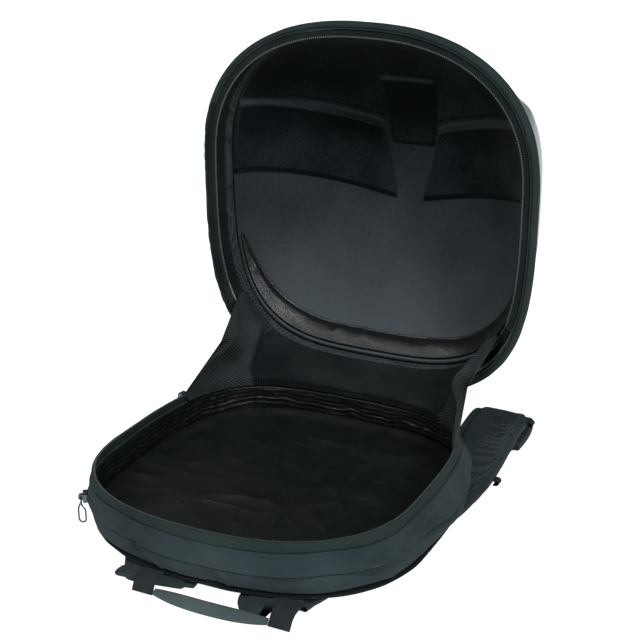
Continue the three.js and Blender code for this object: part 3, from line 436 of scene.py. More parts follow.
class Graph:
    """A material's node tree with short calls for the nodes that the looks use."""

    def __init__(self, name, color, roughness, **sockets):
        self.material = bpy.data.materials.new(name)
        self.material.use_nodes = True
        self.tree = self.material.node_tree
        self.shader = self.tree.nodes["Principled BSDF"]
        self.shader.inputs["Base Color"].default_value = (*color, 1)
        self.shader.inputs["Roughness"].default_value = roughness
        for socket, value in sockets.items():
            self.shader.inputs[socket.replace("_", " ")].default_value = value
        self.uv = self.node("ShaderNodeUVMap").outputs["UV"]
        self.place = self.node("ShaderNodeTexCoord").outputs["Object"]

    def node(self, kind, inputs=None, **settings):
        """A node with values or other nodes' outputs at its inputs."""
        made = self.tree.nodes.new(kind)
        for key, value in settings.items():
            setattr(made, key, value)
        for key, value in (inputs or {}).items():
            self.feed(made.inputs[key], value)
        return made

    def feed(self, socket, value):
        """Links another node's output to a socket, or sets the socket's own value."""
        if hasattr(value, "is_output"):
            self.tree.links.new(value, socket)
        else:
            socket.default_value = value

    def math(self, operation, a, b=0.0):
        return self.node("ShaderNodeMath", {0: a, 1: b}, operation=operation).outputs[0]

    def noise(self, scale, detail=3.0):
        inputs = {"Vector": self.place, "Scale": scale, "Detail": detail}
        return self.node("ShaderNodeTexNoise", inputs).outputs["Fac"]

    def range(self, value, low, high, out_low, out_high):
        inputs = {"Value": value, "From Min": low, "From Max": high, "To Min": out_low, "To Max": out_high}
        return self.node("ShaderNodeMapRange", inputs).outputs["Result"]

    def patches(self, scale, detail, low, high):
        """Soft patches of noise between two values."""
        return self.range(self.noise(scale, detail), 0.3, 0.7, low, high)

    def mix(self, share, low, high):
        made = self.node("ShaderNodeMix", data_type="RGBA")
        self.feed(made.inputs["Factor"], share)
        for socket, value in ((made.inputs["A"], low), (made.inputs["B"], high)):
            self.feed(socket, value if hasattr(value, "is_output") else (*value, 1))
        return made.outputs["Result"]

    def waves(self, pitch, turn=0.0):
        """Parallel threads at a pitch, from -1 to 1; turn is their angle in the cloth."""
        parts = self.node("ShaderNodeSeparateXYZ", {0: self.uv})
        along = self.math("MULTIPLY", parts.outputs["X"], 2 * math.pi / pitch * math.cos(turn))
        across = self.math("MULTIPLY", parts.outputs["Y"], 2 * math.pi / pitch * math.sin(turn))
        return self.math("SINE", self.math("ADD", along, across))

    def weave(self, pitch, turn=0.0):
        """Two sets of threads that cross, from -1 to 1."""
        return self.math("MULTIPLY", self.waves(pitch, turn), self.waves(pitch, turn + math.pi / 2))

    def bump(self, height, strength, distance, normal=None):
        inputs = {"Strength": strength, "Distance": distance, "Height": height}
        if normal is not None:
            inputs["Normal"] = normal
        return self.node("ShaderNodeBump", inputs).outputs["Normal"]

    def finish(self, color=None, roughness=None, normal=None):
        for socket, value in (("Base Color", color), ("Roughness", roughness), ("Normal", normal)):
            if value is not None:
                self.tree.links.new(value, self.shader.inputs[socket])
        return self.material


def cloth_look(name, dark, light, pitch, depth, roughness=0.9, turn=0.0, ribbed=False):
    """Woven or knitted cloth: threads, faint patches and uneven wear; pitch and depth in millimetres."""
    g = Graph(name, dark, roughness, Sheen_Weight=0.012, Sheen_Roughness=0.5, Specular_IOR_Level=0.05)
    threads = g.waves(pitch * MM, turn) if ribbed else g.weave(pitch * MM, turn)
    tone = g.range(threads, -1, 1, 0.15, 0.6)
    patches = g.patches(22, 4, -0.2, 0.4)
    color = g.mix(g.math("ADD", tone, patches), dark, light)
    rough = g.patches(60, 2, roughness - 0.08, min(1.0, roughness + 0.08))
    fuzz = g.bump(g.noise(2600, 2), 0.25, 0.0003)
    normal = g.bump(threads, 0.6, depth * MM, fuzz)
    return g.finish(color, rough, normal)


def mesh_look(name, dark, light, pitch, depth):
    """Air mesh: small round holes that lie close together, darker inside."""
    g = Graph(name, dark, 0.9, Sheen_Weight=0.012, Specular_IOR_Level=0.05)
    cells = g.node("ShaderNodeTexVoronoi", {"Vector": g.place, "Scale": 1 / (pitch * MM), "Randomness": 0.35})
    holes = g.range(cells.outputs["Distance"], 0.2, 0.5, 1, 0)
    patches = g.patches(25, 4, 0, 0.35)
    color = g.mix(g.math("SUBTRACT", g.math("ADD", 0.75, patches), holes), dark, light)
    fuzz = g.bump(g.noise(2200, 2), 0.25, 0.0003)
    normal = g.bump(g.math("SUBTRACT", 1.0, holes), 0.8, depth * MM, fuzz)
    return g.finish(color, None, normal)


def shell_look():
    g = Graph("shell_gloss", (0.13, 0.17, 0.175), 0.34, Coat_Weight=0.12, Coat_Roughness=0.12)
    flakes = g.range(g.noise(900, 2), 0.35, 0.65, 0.0, 0.25)
    color = g.mix(flakes, (0.12, 0.155, 0.16), (0.15, 0.195, 0.2))
    rough = g.range(g.noise(14, 5), 0.3, 0.75, 0.24, 0.36)
    normal = g.bump(g.noise(260, 3), 0.06, 0.0004)
    return g.finish(color, rough, normal)


def felt_look():
    shine = {"Sheen_Weight": 0.05, "Sheen_Roughness": 0.4, "Specular_IOR_Level": 0.05}
    g = Graph("lid_felt", (0.005, 0.007, 0.008), 0.95, **shine)
    nap = g.noise(850, 3)
    brushed = g.patches(16, 4, -0.12, 0.12)
    # Painted light: the felt's colour is lighter where its surface faces up, as if lit from above, on top of
    # its brushed patches and nap.
    parts = g.node("ShaderNodeSeparateXYZ", {0: g.node("ShaderNodeNewGeometry").outputs["Normal"]})
    up_facing_light = g.range(parts.outputs["Z"], -0.5, 0.75, 0.0, 1.0)
    # Painted shade: the felt is darker over the raised panels and lighter in the slots, read from the
    # relief's height.
    panel_shade = g.node("ShaderNodeAttribute", attribute_name="panel_shade").outputs["Fac"]
    painted_light_and_brushing = g.math("SUBTRACT", g.math("ADD", up_facing_light, brushed), g.math("MULTIPLY", panel_shade, 0.3))
    tone = g.math("ADD", painted_light_and_brushing, g.range(nap, 0.3, 0.7, -0.17, 0.17))
    color = g.mix(tone, (0.003, 0.0048, 0.0056), (0.048, 0.058, 0.064))
    normal = g.bump(nap, 0.8, 0.0006)
    return g.finish(color, None, normal)


def nylon_look(name, dark, light, roughness):
    """Thin shiny lining with a fine diamond weave."""
    g = Graph(name, dark, roughness, Specular_IOR_Level=0.4)
    threads = g.weave(1.6 * MM, math.radians(45))
    color = g.mix(g.range(threads, -1, 1, 0, 0.7), dark, light)
    rough = g.patches(40, 3, roughness - 0.07, roughness + 0.1)
    crinkle = g.bump(g.noise(120, 3), 0.25, 0.001)
    normal = g.bump(threads, 0.35, 0.00025, crinkle)
    return g.finish(color, rough, normal)


def metal_look(name, color, roughness):
    g = Graph(name, color, roughness, Metallic=1.0)
    worn = g.range(g.noise(220, 4), 0.35, 0.7, roughness - 0.06, roughness + 0.14)
    tone = g.mix(g.noise(90, 3), tuple(0.8 * c for c in color), color)
    normal = g.bump(g.noise(1500, 2), 0.1, 0.0001)
    return g.finish(tone, worn, normal)


def plastic_look(name, color, roughness):
    g = Graph(name, color, roughness, Specular_IOR_Level=0.5)
    tone = g.mix(g.noise(120, 3), tuple(0.75 * c for c in color), tuple(1.2 * c for c in color))
    worn = g.patches(90, 3, roughness - 0.05, roughness + 0.12)
    normal = g.bump(g.noise(1800, 2), 0.12, 0.0001)
    return g.finish(tone, worn, normal)


OUTER = cloth_look("outer_cloth", (0.014, 0.023, 0.026), (0.034, 0.048, 0.053), 1.7, 0.3)
PIPING = cloth_look("rim_cloth", (0.011, 0.019, 0.019), (0.025, 0.037, 0.036), 1.6, 0.3)
TAPE = cloth_look(
    "zip_tape_weave", (0.005, 0.008, 0.009), (0.014, 0.019, 0.020), 1.4, 0.3, turn=0.6, ribbed=True
)
TAPE_SLACK = cloth_look("slack_tape", (0.004, 0.007, 0.008), (0.015, 0.021, 0.022), 1.4, 0.3, roughness=0.65)
WEBBING = cloth_look(
    "webbing_weave", (0.007, 0.010, 0.011), (0.026, 0.033, 0.035), 1.9, 0.5, turn=0.7, ribbed=True
)
KNIT = cloth_look("rib_knit", (0.006, 0.009, 0.010), (0.040, 0.049, 0.052), 2.4, 0.8, turn=0.8, ribbed=True)
KNIT_DARK = cloth_look("rib_knit_dark", (0.003, 0.004, 0.005), (0.014, 0.018, 0.019), 2.4, 0.6, ribbed=True)
FACING = cloth_look("facing_tape", (0.004, 0.006, 0.007), (0.012, 0.016, 0.017), 1.3, 0.3, roughness=0.6)
MESH = mesh_look("air_mesh", (0.002, 0.003, 0.004), (0.034, 0.045, 0.048), 2.1, 0.7)
STRAP = cloth_look("strap_cloth", (0.018, 0.027, 0.029), (0.034, 0.046, 0.049), 0.9, 0.22)
GRIP = cloth_look("grip_cloth", (0.040, 0.056, 0.060), (0.075, 0.098, 0.104), 1.0, 0.3)
FELT = felt_look()
SHELL = shell_look()
NYLON = nylon_look("tray_nylon", (0.002, 0.003, 0.0035), (0.0065, 0.0085, 0.0095), 0.36)
POCKET = nylon_look("pocket_nylon", (0.003, 0.004, 0.005), (0.010, 0.012, 0.013), 0.3)
GLOSS = plastic_look("gloss_trim", (0.012, 0.013, 0.014), 0.18)
TEETH = plastic_look("zip_teeth", (0.05, 0.065, 0.065), 0.3)
METAL = metal_look("gunmetal", (0.11, 0.13, 0.14), 0.34)


# Lid


def lid_shell():
    turns = np.linspace(turn_at(LID_RIM_BACK), 0.995 * math.pi / 2, 64)
    share = ring()
    swell = side_swell(share, turns)
    outer = on_dome(share, turns[::-1], -swell[:, ::-1])
    inner = on_dome(share, turns[::4], SHELL_WALL - swell[:, ::4])
    points = beside(outer, inner).transpose(1, 0, 2)
    dress(loft("shell_skin", points), SHELL, "shell", "lid_shell")


def lid_rim():
    """Rolled cloth round the shell's edge, with a stitched dip beside the zip."""
    profile = [
        (0.3, 5.9), (0, 1.5), (0.1, -1.6), (0.7, -2.2), (0.2, -3.0), (0.6, -4.4), (2.2, -5.1),
        (3.9, -4.8), (4.5, -3.6), (5.0, -3.4), (5.5, -4.3), (6.4, -4.3), (6.9, -3.2), (7, -1), (7, 5.9),
    ]
    section = spline(np.array(profile) * MM, 3, closed=True)
    share = ring(720)
    points = on_lid(share, section[:, 0], section[:, 1])
    slack = 1.5 * MM * smoothstep(0.36, 0.3, share) * smoothstep(0.1, 0.16, share)
    ripple = 0.5 * MM * (noise(points, 14 * MM, 3) - 0.5) + slack * (ridges(points, 11 * MM, 6) - 0.3)
    face = smoothstep(-2 * MM, -4 * MM, section[:, 1])
    points = on_lid(share, section[:, 0] + ripple * (1 - face), section[:, 1] + ripple * face)
    piece = dress(grid_mesh("rim_band", points), [PIPING, TAPE_SLACK], "outer_cloth", "lid_rim")
    paint(piece, (slack > 0.7 * MM) & (face > 0.5) & (section[:, 0] > 2.2 * MM))


ZIP_START = 0.165
LID_TAPE_INSET = 7.4
LID_TAPE_WIDTH = 6.3


def lid_zip_tape():
    far = LID_TAPE_INSET + LID_TAPE_WIDTH
    corners = [(LID_TAPE_INSET, -2.9), (far - 3, -3.4), (far, -3.0), (far, -1.4), (LID_TAPE_INSET, -1.2)]
    section = refined(rounded(corners, 0.7), 1 * MM)
    points = on_lid(stretch(ZIP_START, 1 - ZIP_START, 400), section[:, 0], section[:, 1])
    dress(loft("lid_tape", points), TAPE, "zip_tape", "lid_zip_tape")
    zip_teeth("lid_teeth", on_lid, ZIP_START, 1 - ZIP_START, far * MM, -2.9 * MM, (0, -1, 0))


def tooth(centre, along, across, up):
    """A small block for one tooth of a coil zip."""
    vertices = []
    for a, b, c in np.ndindex(2, 2, 2):
        reach = (np.array([a, b, c]) - 0.5) * TOOTH_SIZE
        vertices.append(centre + along * reach[0] + across * reach[1] + up * reach[2])
    faces = [[0, 1, 3, 2], [4, 6, 7, 5], [0, 4, 5, 1], [2, 3, 7, 6], [0, 2, 6, 4], [1, 5, 7, 3]]
    return vertices, faces


TOOTH_PITCH = 2.4 * MM
TOOTH_SIZE = (1.1 * MM, 1.6 * MM, 1.0 * MM)


def zip_teeth(name, place, start, end, inset, height, rise):
    """Teeth along a zip's free edge. place(share, inset, height) gives a point of the band."""
    count = int((end - start) * WALKED[-1] / TOOTH_PITCH)
    shares = np.linspace(start, end, count)
    centres = place(shares, inset, height)
    inner = place(shares, inset + MM, height)
    parts = []
    for k in range(1, count - 1):
        along = unit(centres[k + 1] - centres[k - 1])
        across = unit(inner[k] - centres[k])
        parts.append(tooth(centres[k], along, across, np.array(rise)))
    dress(joined(name, parts), TEETH, "zip_metal")


FACING_SEAM = 17 * MM


def lid_facing():
    """Wrinkled tape and mesh on the shell's inner wall, with a raised seam between them."""
    turns = np.linspace(turn_at(LID_RIM_BACK + GAP), turn_at(FACING_DEPTH), 26)
    depths = SHELL_DEPTH * np.sin(turns)
    share = ring()
    base = SHELL_WALL + GAP
    flat = on_dome(share, turns, base + CLOTH)
    loose = smoothstep(8 * MM, 12 * MM, depths) * smoothstep(29 * MM, 24 * MM, depths)
    wrinkle = 2.0 * MM * ridges(flat * np.array([1, 1, 0.45]), 13 * MM, 5) * loose
    seam = 1.2 * MM * np.exp(-(((depths - FACING_SEAM) / (1.2 * MM)) ** 2))
    inner = on_dome(share, turns, base + CLOTH + wrinkle + seam)
    outer = on_dome(share, turns[::-1], base)
    points = beside(inner, outer)
    beyond = depths >= FACING_SEAM
    piece = dress(grid_mesh("facing_cloth", points), [FACING, MESH], "knit", "lid_facing")
    paint(piece, np.tile(np.concatenate([beyond, beyond[::-1]]), (STATIONS, 1)))


# Moulded forms of the lining, seen from inside: half width and height above the hinge in millimetres
PANEL_CORNERS = [(31, 246), (190, 286), (190, 204), (12, 163)]
PANEL_RAISE = 5.5
PANEL_EDGE = 4
SPINE_CORNERS = [(-31, 301), (35, 301), (29, 224), (-25, 224)]
SPINE_RAISE = 4
SPINE_EDGE = 4
SLOT_LINE = [(30, 248), (60, 256), (90, 265), (116, 272), (137, 275)]
SLOT_DEPTH = 3.8
SLOT_WIDTH = 4


def inside_by(corners, x, y):
    """Distance inside a polygon whose corners run clockwise; negative outside."""
    least = np.full(np.shape(x), 1e9)
    for (ax, ay), (bx, by) in zip(corners, corners[1:] + corners[:1]):
        length = math.hypot(bx - ax, by - ay)
        away = ((bx - ax) * (ay - y) + (by - ay) * (x - ax)) / length
        least = -0.5 * (-least - away + np.hypot(least - away, 3.0))
    return least


def relief(x, v):
    """How far the moulded lining stands out at a place, in millimetres."""
    side = np.abs(x)
    panel = PANEL_RAISE * smoothstep(0, PANEL_EDGE, inside_by(PANEL_CORNERS, side, v))
    spine = SPINE_RAISE * smoothstep(0, SPINE_EDGE, inside_by(SPINE_CORNERS, x, v))
    line = np.array(SLOT_LINE, float)
    middle = np.interp(side, line[:, 0], line[:, 1])
    closing = smoothstep(line[-1, 0] + 6, line[0, 0] + 20, side)
    taper = smoothstep(line[0, 0] - 2, line[0, 0] + 6, side) * closing
    slot = SLOT_DEPTH * taper * np.exp(-(((v - middle) / (SLOT_WIDTH * (0.45 + 0.55 * closing))) ** 4))
    return panel + spine - slot


def lid_lining():
    turns = np.linspace(turn_at(FACING_DEPTH + 2 * GAP), 0.995 * math.pi / 2, 170)
    share = ring(460)
    outer_offset = SHELL_WALL + GAP
    flat = on_dome(share, turns, outer_offset + LINING_THICKNESS)
    lift = relief(flat[..., 0] / MM, (flat[..., 2] - RIM_HEIGHT) / MM) * MM
    inner = on_dome(share, turns, outer_offset + LINING_THICKNESS + lift)
    outer = on_dome(share, turns[::-1][::12], outer_offset)
    points = beside(outer, inner).transpose(1, 0, 2)
    piece = loft("lining_felt", points)
    dress(piece, FELT, "felt", "lid_lining")
    # The relief's height goes to the felt's painted shade over the raised panels.
    mark(piece, "panel_shade", lift / (PANEL_RAISE * MM), outer.shape[1])


def lid_pocket():
    """Slack glossy nylon with a piped edge across the hinge end of the lid; it runs out at both ends."""
    base = SHELL_WALL + GAP + LINING_THICKNESS + 2 * GAP
    out = np.linspace(0, 1, 40)[None, :]
    share = stretch(-0.2, 0.2, 260)
    reach = 1 - np.abs(share / 0.2) ** 3.5
    depths = FACING_DEPTH + 3 * MM + (POCKET_DEPTH - FACING_DEPTH - 3 * MM) * out * (0.06 + 0.94 * reach)
    turns = np.arcsin(depths / SHELL_DEPTH)
    flat = on_dome(share, turns, base)
    folds = 2.2 * MM * ridges(flat * np.array([1, 0.5, 1]), 34 * MM, 8) * np.sin(math.pi * out)
    lift = (3.5 * MM * np.sin(math.pi * out) + folds) * reach
    piping = 1.5 * MM * np.exp(-(((out - 0.94) / 0.045) ** 2))
    inner = on_dome(share, turns, base + CLOTH + lift + piping)
    outer = on_dome(share, turns[:, ::-1], base + lift[:, ::-1])
    points = beside(inner, outer)
    piece = dress(loft("pocket_cloth", points), POCKET, "nylon", "lid_pocket")


def shell_trims():
    depths = np.array([20, 20.6, 29.4, 30]) * MM
    turns = np.arcsin(depths / SHELL_DEPTH)
    for name, start, end in (("left", 0.175, 0.21), ("right", 0.79, 0.825)):
        share = stretch(start, end, 40)
        over = on_dome(share, turns, -np.array([1.4, 2.3, 2.3, 1.4]) * MM)
        under = on_dome(share, turns[::-1], -0.8 * MM)
        piece = loft(f"trim_strip_{name}", beside(over, under))
        dress(piece, GLOSS, "gloss_trim", f"shell_trim_{name}")


# Tray


# The upper wall laps down over the zip below it: height over that zip and how far it stands proud, in
# millimetres; its last row lies against the tape above it
UPPER_ROWS = [
    (-2.2, 0.1), (-1.9, 1.5), (-1.2, 1.9), (-0.2, 1.6), (1.2, 0.9),
    (2.6, 0.5), (4, 0.3), (6, 0.2), (8.5, 0.2), (11, 0.2),
    (13, 0.3), (14.4, 0.6), (15.4, 1.0), (16.1, 0.9), (16.6, 0.1),
]

# The lower wall: height as a share of its own, and how far it stands proud in millimetres
LOWER_ROWS = [
    (0, -1.2), (0.03, -0.2), (0.1, 0.3), (0.2, 0.3), (0.32, 0.2), (0.46, 0.2),
    (0.6, 0.2), (0.74, 0.2), (0.86, 0.1), (0.95, -0.3), (1.0, -1.0),
]


def wall_band(name, heights, outs, puff, seed):
    """A closed soft band between two heights; outs are how far each height stands proud."""
    share = ring(960)
    middles = 0.5 * (heights[1:] + heights[:-1])
    doubled = np.sort(np.concatenate([heights, middles]))
    outs = np.interp(doubled, heights, outs)
    z = doubled[None, :]
    flat = on_tray(share, wall_inset(share, z), z)
    soft = (noise(flat * np.array([1, 1, 0.5]), 28 * MM, seed) - 0.5) * puff
    crease = ridges(flat * np.array([1, 1, 0.35]), 46 * MM, seed + 1) * puff * 0.35
    held = np.sin(math.pi * np.linspace(0, 1, len(doubled))) ** 0.35
    details = wall_details(share, z) * held
    front = on_tray(share, wall_inset(share, z) + soft + crease - details - outs, z)
    hidden_z = z[:, ::-4]
    back = on_tray(share, wall_inset(share, hidden_z) + WALL_THICKNESS, hidden_z)
    return grid_mesh(name, beside(front, back))


def tray_walls():
    rises, outs = np.array(UPPER_ROWS).T * MM
    heights = LOWER_ZIP_TOP + rises
    heights[-1] = UPPER_WALL_TOP + 0.3 * MM
    piece = wall_band("wall_cloth_upper", heights, outs, 2.2 * MM, 21)
    dress(piece, OUTER, "outer_cloth", "tray_wall_upper")
    shares, outs = np.array(LOWER_ROWS).T
    top = LOWER_ZIP_BOTTOM + 0.2 * MM
    piece = wall_band("wall_cloth_lower", WALL_BOTTOM + (top - WALL_BOTTOM) * shares, outs * MM, 2.6 * MM, 31)
    dress(piece, OUTER, "outer_cloth", "tray_wall_lower")


def on_wall(share, inset, z):
    return on_tray(share, wall_inset(share, z) + inset, z)


def lower_zip():
    share = ring()
    z = np.linspace(LOWER_ZIP_BOTTOM, LOWER_ZIP_TOP, 5)[None, :]
    front = on_wall(share, 1.7 * MM, z)
    back = on_wall(share, WALL_THICKNESS, z)[:, ::-1]
    dress(grid_mesh("side_zip", beside(front, back)), TAPE, "zip_tape", "lower_zip_tape")
    middle = (LOWER_ZIP_BOTTOM + LOWER_ZIP_TOP) / 2
    zip_teeth("side_zip_teeth", on_wall, 0, 1, 1.6 * MM, middle, (0, 0, 1))


TRAY_TEETH_INSET = 27.4 * MM


def tray_zip():
    share = ring()
    low = [UPPER_WALL_TOP + rise * MM for rise in (0.2, 2)]
    high = [RIM_HEIGHT - drop * MM for drop in (4, 1.6, 0.4, 0)]
    z = np.array(low + high)[None, :]
    outs = np.array([0.7, 0.7, 0.3, 0.1, 0.3, 0.9]) * MM
    soft = (noise(on_wall(share, 0, z), 20 * MM, 41) - 0.5) * 0.7 * MM
    front = on_wall(share, outs + soft, z)
    back = on_wall(share, 2 * MM, z)[:, ::-1]
    dress(grid_mesh("rim_tape", beside(front, back)), PIPING, "zip_tape", "tray_zip_tape")
    height = RIM_HEIGHT - 0.1 * MM
    zip_teeth("tray_teeth", on_tray, ZIP_START, 1 - ZIP_START, TRAY_TEETH_INSET, height, (0, 0, 1))


# Gathered lines of the tray's lining: share of the way up its wall, and height in millimetres
TUB_PLEATS = [(0.34, 1.2), (0.52, 2.0), (0.68, 1.4), (0.84, 2.0)]


def tray_lining():
    """Thin shiny lining: gathered along four lines up the wall, with soft folds on the floor."""
    near = WALL_THICKNESS + 2 * GAP
    share = ring()
    wall_z = np.linspace(TRAY_FLOOR + 2 * MM, UPPER_WALL_TOP, 40)
    flat = on_wall(share, near + CLOTH, wall_z)
    up = (wall_z - TRAY_FLOOR) / (UPPER_WALL_TOP - TRAY_FLOOR)
    wander = 0.16 * (noise(flat * np.array([1, 1, 0]), 15 * MM, 55) - 0.5)
    gathers = ridges(flat * np.array([1, 1, 0.6]), 9 * MM, 51) * 1.6 * MM
    pleats = 0.0
    for level, rise in TUB_PLEATS:
        broken = 0.3 + 0.7 * noise(flat * np.array([1, 1, 0]), 22 * MM, 56 + level)
        pleats = pleats + rise * MM * broken * np.exp(-(((up + wander - level) / 0.03) ** 2))
    bulge = 3.0 * MM * noise(flat * np.array([1, 1, 0.6]), 40 * MM, 52)
    fade = np.sin(math.pi * np.clip(up, 0, 1)) ** 0.6
    wall = on_wall(share, near + CLOTH + (gathers + pleats + bulge) * fade, wall_z)
    shrink = np.linspace(1, 0.01, 96)[1:]
    start = wall_inset(share, TRAY_FLOOR) + near + CLOTH
    ground = on_tray(share, start, TRAY_FLOOR, shrink)
    rise = 5.0 * MM * noise(ground, 60 * MM, 53) * smoothstep(1.0, 0.9, shrink)
    rise = rise + 3.0 * MM * ridges(ground, 75 * MM, 54) ** 2 * smoothstep(1.0, 0.85, shrink)
    rise = rise + 0.9 * MM * ridges(ground, 21 * MM, 57) * smoothstep(1.0, 0.85, shrink)
    rise = rise + 7 * MM * smoothstep(0.9, 1.0, shrink)
    ground[..., 2] += rise + CLOTH
    hidden_z = wall_z[::-5]
    outer_wall = on_wall(share, near, hidden_z)
    outer_floor = on_tray(share, start - CLOTH, TRAY_FLOOR, shrink[::12])
    points = beside(ground[:, ::-1], wall, outer_wall, outer_floor).transpose(1, 0, 2)
    piece = dress(loft("tub_lining", points), NYLON, "nylon", "tray_lining")


def back_panel():
    """Padded back with a rolled edge that shows under the tray wall."""
    share = ring()
    corners = [(25, 0), (20.5, 1.2), (19.6, 2.4), (20.4, 4.0), (24, 4.3)]
    corners += [(29, 4.4), (29, 9.7), (60, 9.7), (60, 0)]
    section = refined(rounded(corners, 1.2), 4 * MM)
    points = on_tray(share, section[:, 0], section[:, 1] + PANEL_BOTTOM)
    ripple = (noise(points, 18 * MM, 61) - 0.5) * 1.0 * MM
    points = on_tray(share, section[:, 0] + ripple, section[:, 1] + PANEL_BOTTOM)
    piece = dress(grid_mesh("back_edge", points), KNIT_DARK, "mesh_cloth")
    shrink = np.linspace(1, 0.01, 12)
    under = on_tray(share, 60 * MM, PANEL_BOTTOM, shrink)
    over = on_tray(share, 60 * MM, PANEL_TOP, shrink[::-1])
    points = beside(over, under).transpose(1, 0, 2)
    piece = dress(loft("back_field", points), MESH, "mesh_cloth", "back_panel")


def rounded_rectangle(width, length, radius, count):
    """Points round a rectangle with round corners, about the origin."""
    out = []
    for k, (sx, sy) in enumerate(((1, 1), (-1, 1), (-1, -1), (1, -1))):
        for turn in np.linspace(k * math.pi / 2, (k + 1) * math.pi / 2, count):
            x = sx * (width / 2 - radius) + radius * math.cos(turn)
            y = sy * (length / 2 - radius) + radius * math.sin(turn)
            out.append((x, y))
    return np.array(out)


# The pad's rows from its middle above, round its edge, to its middle below: shares of its outline and height
PAD_ROWS = [(0.02, 1.0), (0.5, 1.0), (0.9, 1.0), (0.97, 0.93), (1.0, 0.75)]
PAD_ROWS += [(1.0, 0.45), (0.97, 0.12), (0.93, 0.0), (0.5, 0.0), (0.02, 0.0)]


def back_pad():
    width, length = PAD_HIGH.x - PAD_LOW.x, PAD_HIGH.y - PAD_LOW.y
    height = PAD_HIGH.z
    loop = rounded_rectangle(width, length, 20 * MM, 14)
    loop = refined(loop, 4 * MM)
    points = np.array([[(x * s, y * s, z * height) for x, y in loop] for s, z in PAD_ROWS])
    piece = loft("lumbar_pad", points)
    dress(piece, MESH, "mesh_cloth", "back_pad")


# Cloth between tray and lid


def sheet_grid(name, grid):
    """A closed thin sheet over a grid of points, with the cloth's thickness shared to both sides."""
    grid = np.asarray(grid, float)
    along = np.gradient(grid, axis=0)
    across = np.gradient(grid, axis=1)
    normal = unit(np.cross(along, across))
    front = grid + normal * CLOTH / 2
    back = (grid - normal * CLOTH / 2)[:, ::-1]
    return loft(name, beside(front, back))


INSIDE_TRAY = 28.2 * MM
INSIDE_LID = 13 * MM

# The hinge's rows, from the tray's rim to the lid's: how far further in and how high, in millimetres
HINGE_TRAY_ROWS = [(0, -7.5), (0, -3), (0, 1), (-6, 4)]
HINGE_LID_ROWS = [(-1, -7), (0, 1), (0, 6), (3, 16)]


def hinge_panel():
    share = np.linspace(-0.104, 0.104, 120)
    tray = [on_tray(share, INSIDE_TRAY + a * MM, RIM_HEIGHT + z * MM) for a, z in HINGE_TRAY_ROWS]
    lid = [on_lid(share, INSIDE_LID + a * MM, z * MM) for a, z in HINGE_LID_ROWS]
    rows = np.stack(tray + lid, axis=1)
    grid = np.stack([spline(row, 6) for row in rows])
    wave = (noise(grid * np.array([1, 0.3, 0.3]), 17 * MM, 71) - 0.5) * 2.2 * MM
    grid[..., 1] += wave
    piece = dress(sheet_grid("hinge_cloth", grid), KNIT_DARK, "knit", "hinge_panel")
    planar_uv(piece, 0, 2)
    return grid


# A web's seams run from the hinge's edge to these places, as shares of the way round
WEB_START = 0.103
WEB_TRAY_END = 0.178
WEB_LID_END = 0.148

# Its pleat: share of the way up, and how much of the reach it points inwards there
WEB_PLEAT = [(0.3, 0.35), (0.55, 1.0), (0.8, 0.45)]
WEB_PLEAT_REACH = 22 * MM


def gusset(name, side, hinge):
    """A folded web: a leaf from the tray rim, a pleat that points inwards and a leaf on the lid."""
    out = np.linspace(0, 1, 60)
    tray_share = WEB_START + out * (WEB_TRAY_END - WEB_START)
    lid_share = WEB_START + out * (WEB_LID_END - WEB_START)
    if side > 0:
        tray_share = 1 - tray_share
        lid_share = 1 - lid_share
    foot = on_tray(tray_share, INSIDE_TRAY, UPPER_WALL_TOP + CLOTH)
    low = on_tray(tray_share, INSIDE_TRAY, RIM_HEIGHT + 3 * MM)
    high = on_lid(lid_share, 21.2 * MM, -5 * MM)
    head = on_lid(lid_share, INSIDE_LID + 4.5 * MM, 16 * MM)
    rows = [foot, low]
    for up, inward in WEB_PLEAT:
        row = low + up * (high - low)
        row[:, 0] -= side * inward * WEB_PLEAT_REACH * out
        rows.append(row)
    rows += [high, head]
    grid = np.stack([spline(points, 8) for points in np.stack(rows, axis=1)])
    wave = (noise(grid, 24 * MM, 81) - 0.5) * 3 * MM * np.sin(math.pi * np.linspace(0, 1, grid.shape[1]))
    grid[..., 0] += wave
    edge = hinge[0] if side > 0 else hinge[-1]
    places = np.linspace(0, len(edge) - 1, grid.shape[1])
    joint = np.stack([np.interp(places, np.arange(len(edge)), edge[:, k]) for k in range(3)], axis=1)
    grid += (joint - grid[0]) * np.exp(-((out / 0.12) ** 2))[:, None, None]
    piece = dress(sheet_grid(f"web_{name}", grid), KNIT, "knit", f"gusset_{name}")
    planar_uv(piece, 1, 2)


# Shoulder straps

STRAP_WIDTH = 62
STRAP_THICKNESS = 11
STRAP_SIDE = 134
STRAP_REACH = 268
STRAP_FOLD_HEIGHT = 25
STRAP_TOP_SHIFT = 20
STRAP_START = {"left": -0.6, "right": -0.55}
STRAP_SMOOTH_END = {"left": 2.6, "right": 1.2}
STRAP_BORDER = 1
FOLD_FILL = 1.0

# Short creases in a strap's mesh: their ends, outwards from its middle line and along, in millimetres
STRAP_CREASES = [((5, 211), (19, 221)), ((4, 195), (23, 207))]

# Centre line of a strap: along and side are shares of its reach and its widest place, rise of the fold
STRAP_PATH = [
    (-0.585, 0.42, 0), (-0.53, 0.42, 0), (-0.4, 0.54, 0), (-0.2, 0.7, 0),
    (0, 0.84, 0), (0.2, 0.95, 0), (0.42, 1, 0.06), (0.6, 1, 0.28),
    (0.7, 1, 0.6), (0.8, 1, 0.92), (0.9, 1, 1), (0.955, 1, 0.85),
    (0.975, 1, 0.5), (0.955, 1, 0.15), (0.9, 1, 0), (0.81, 1, 0),
]


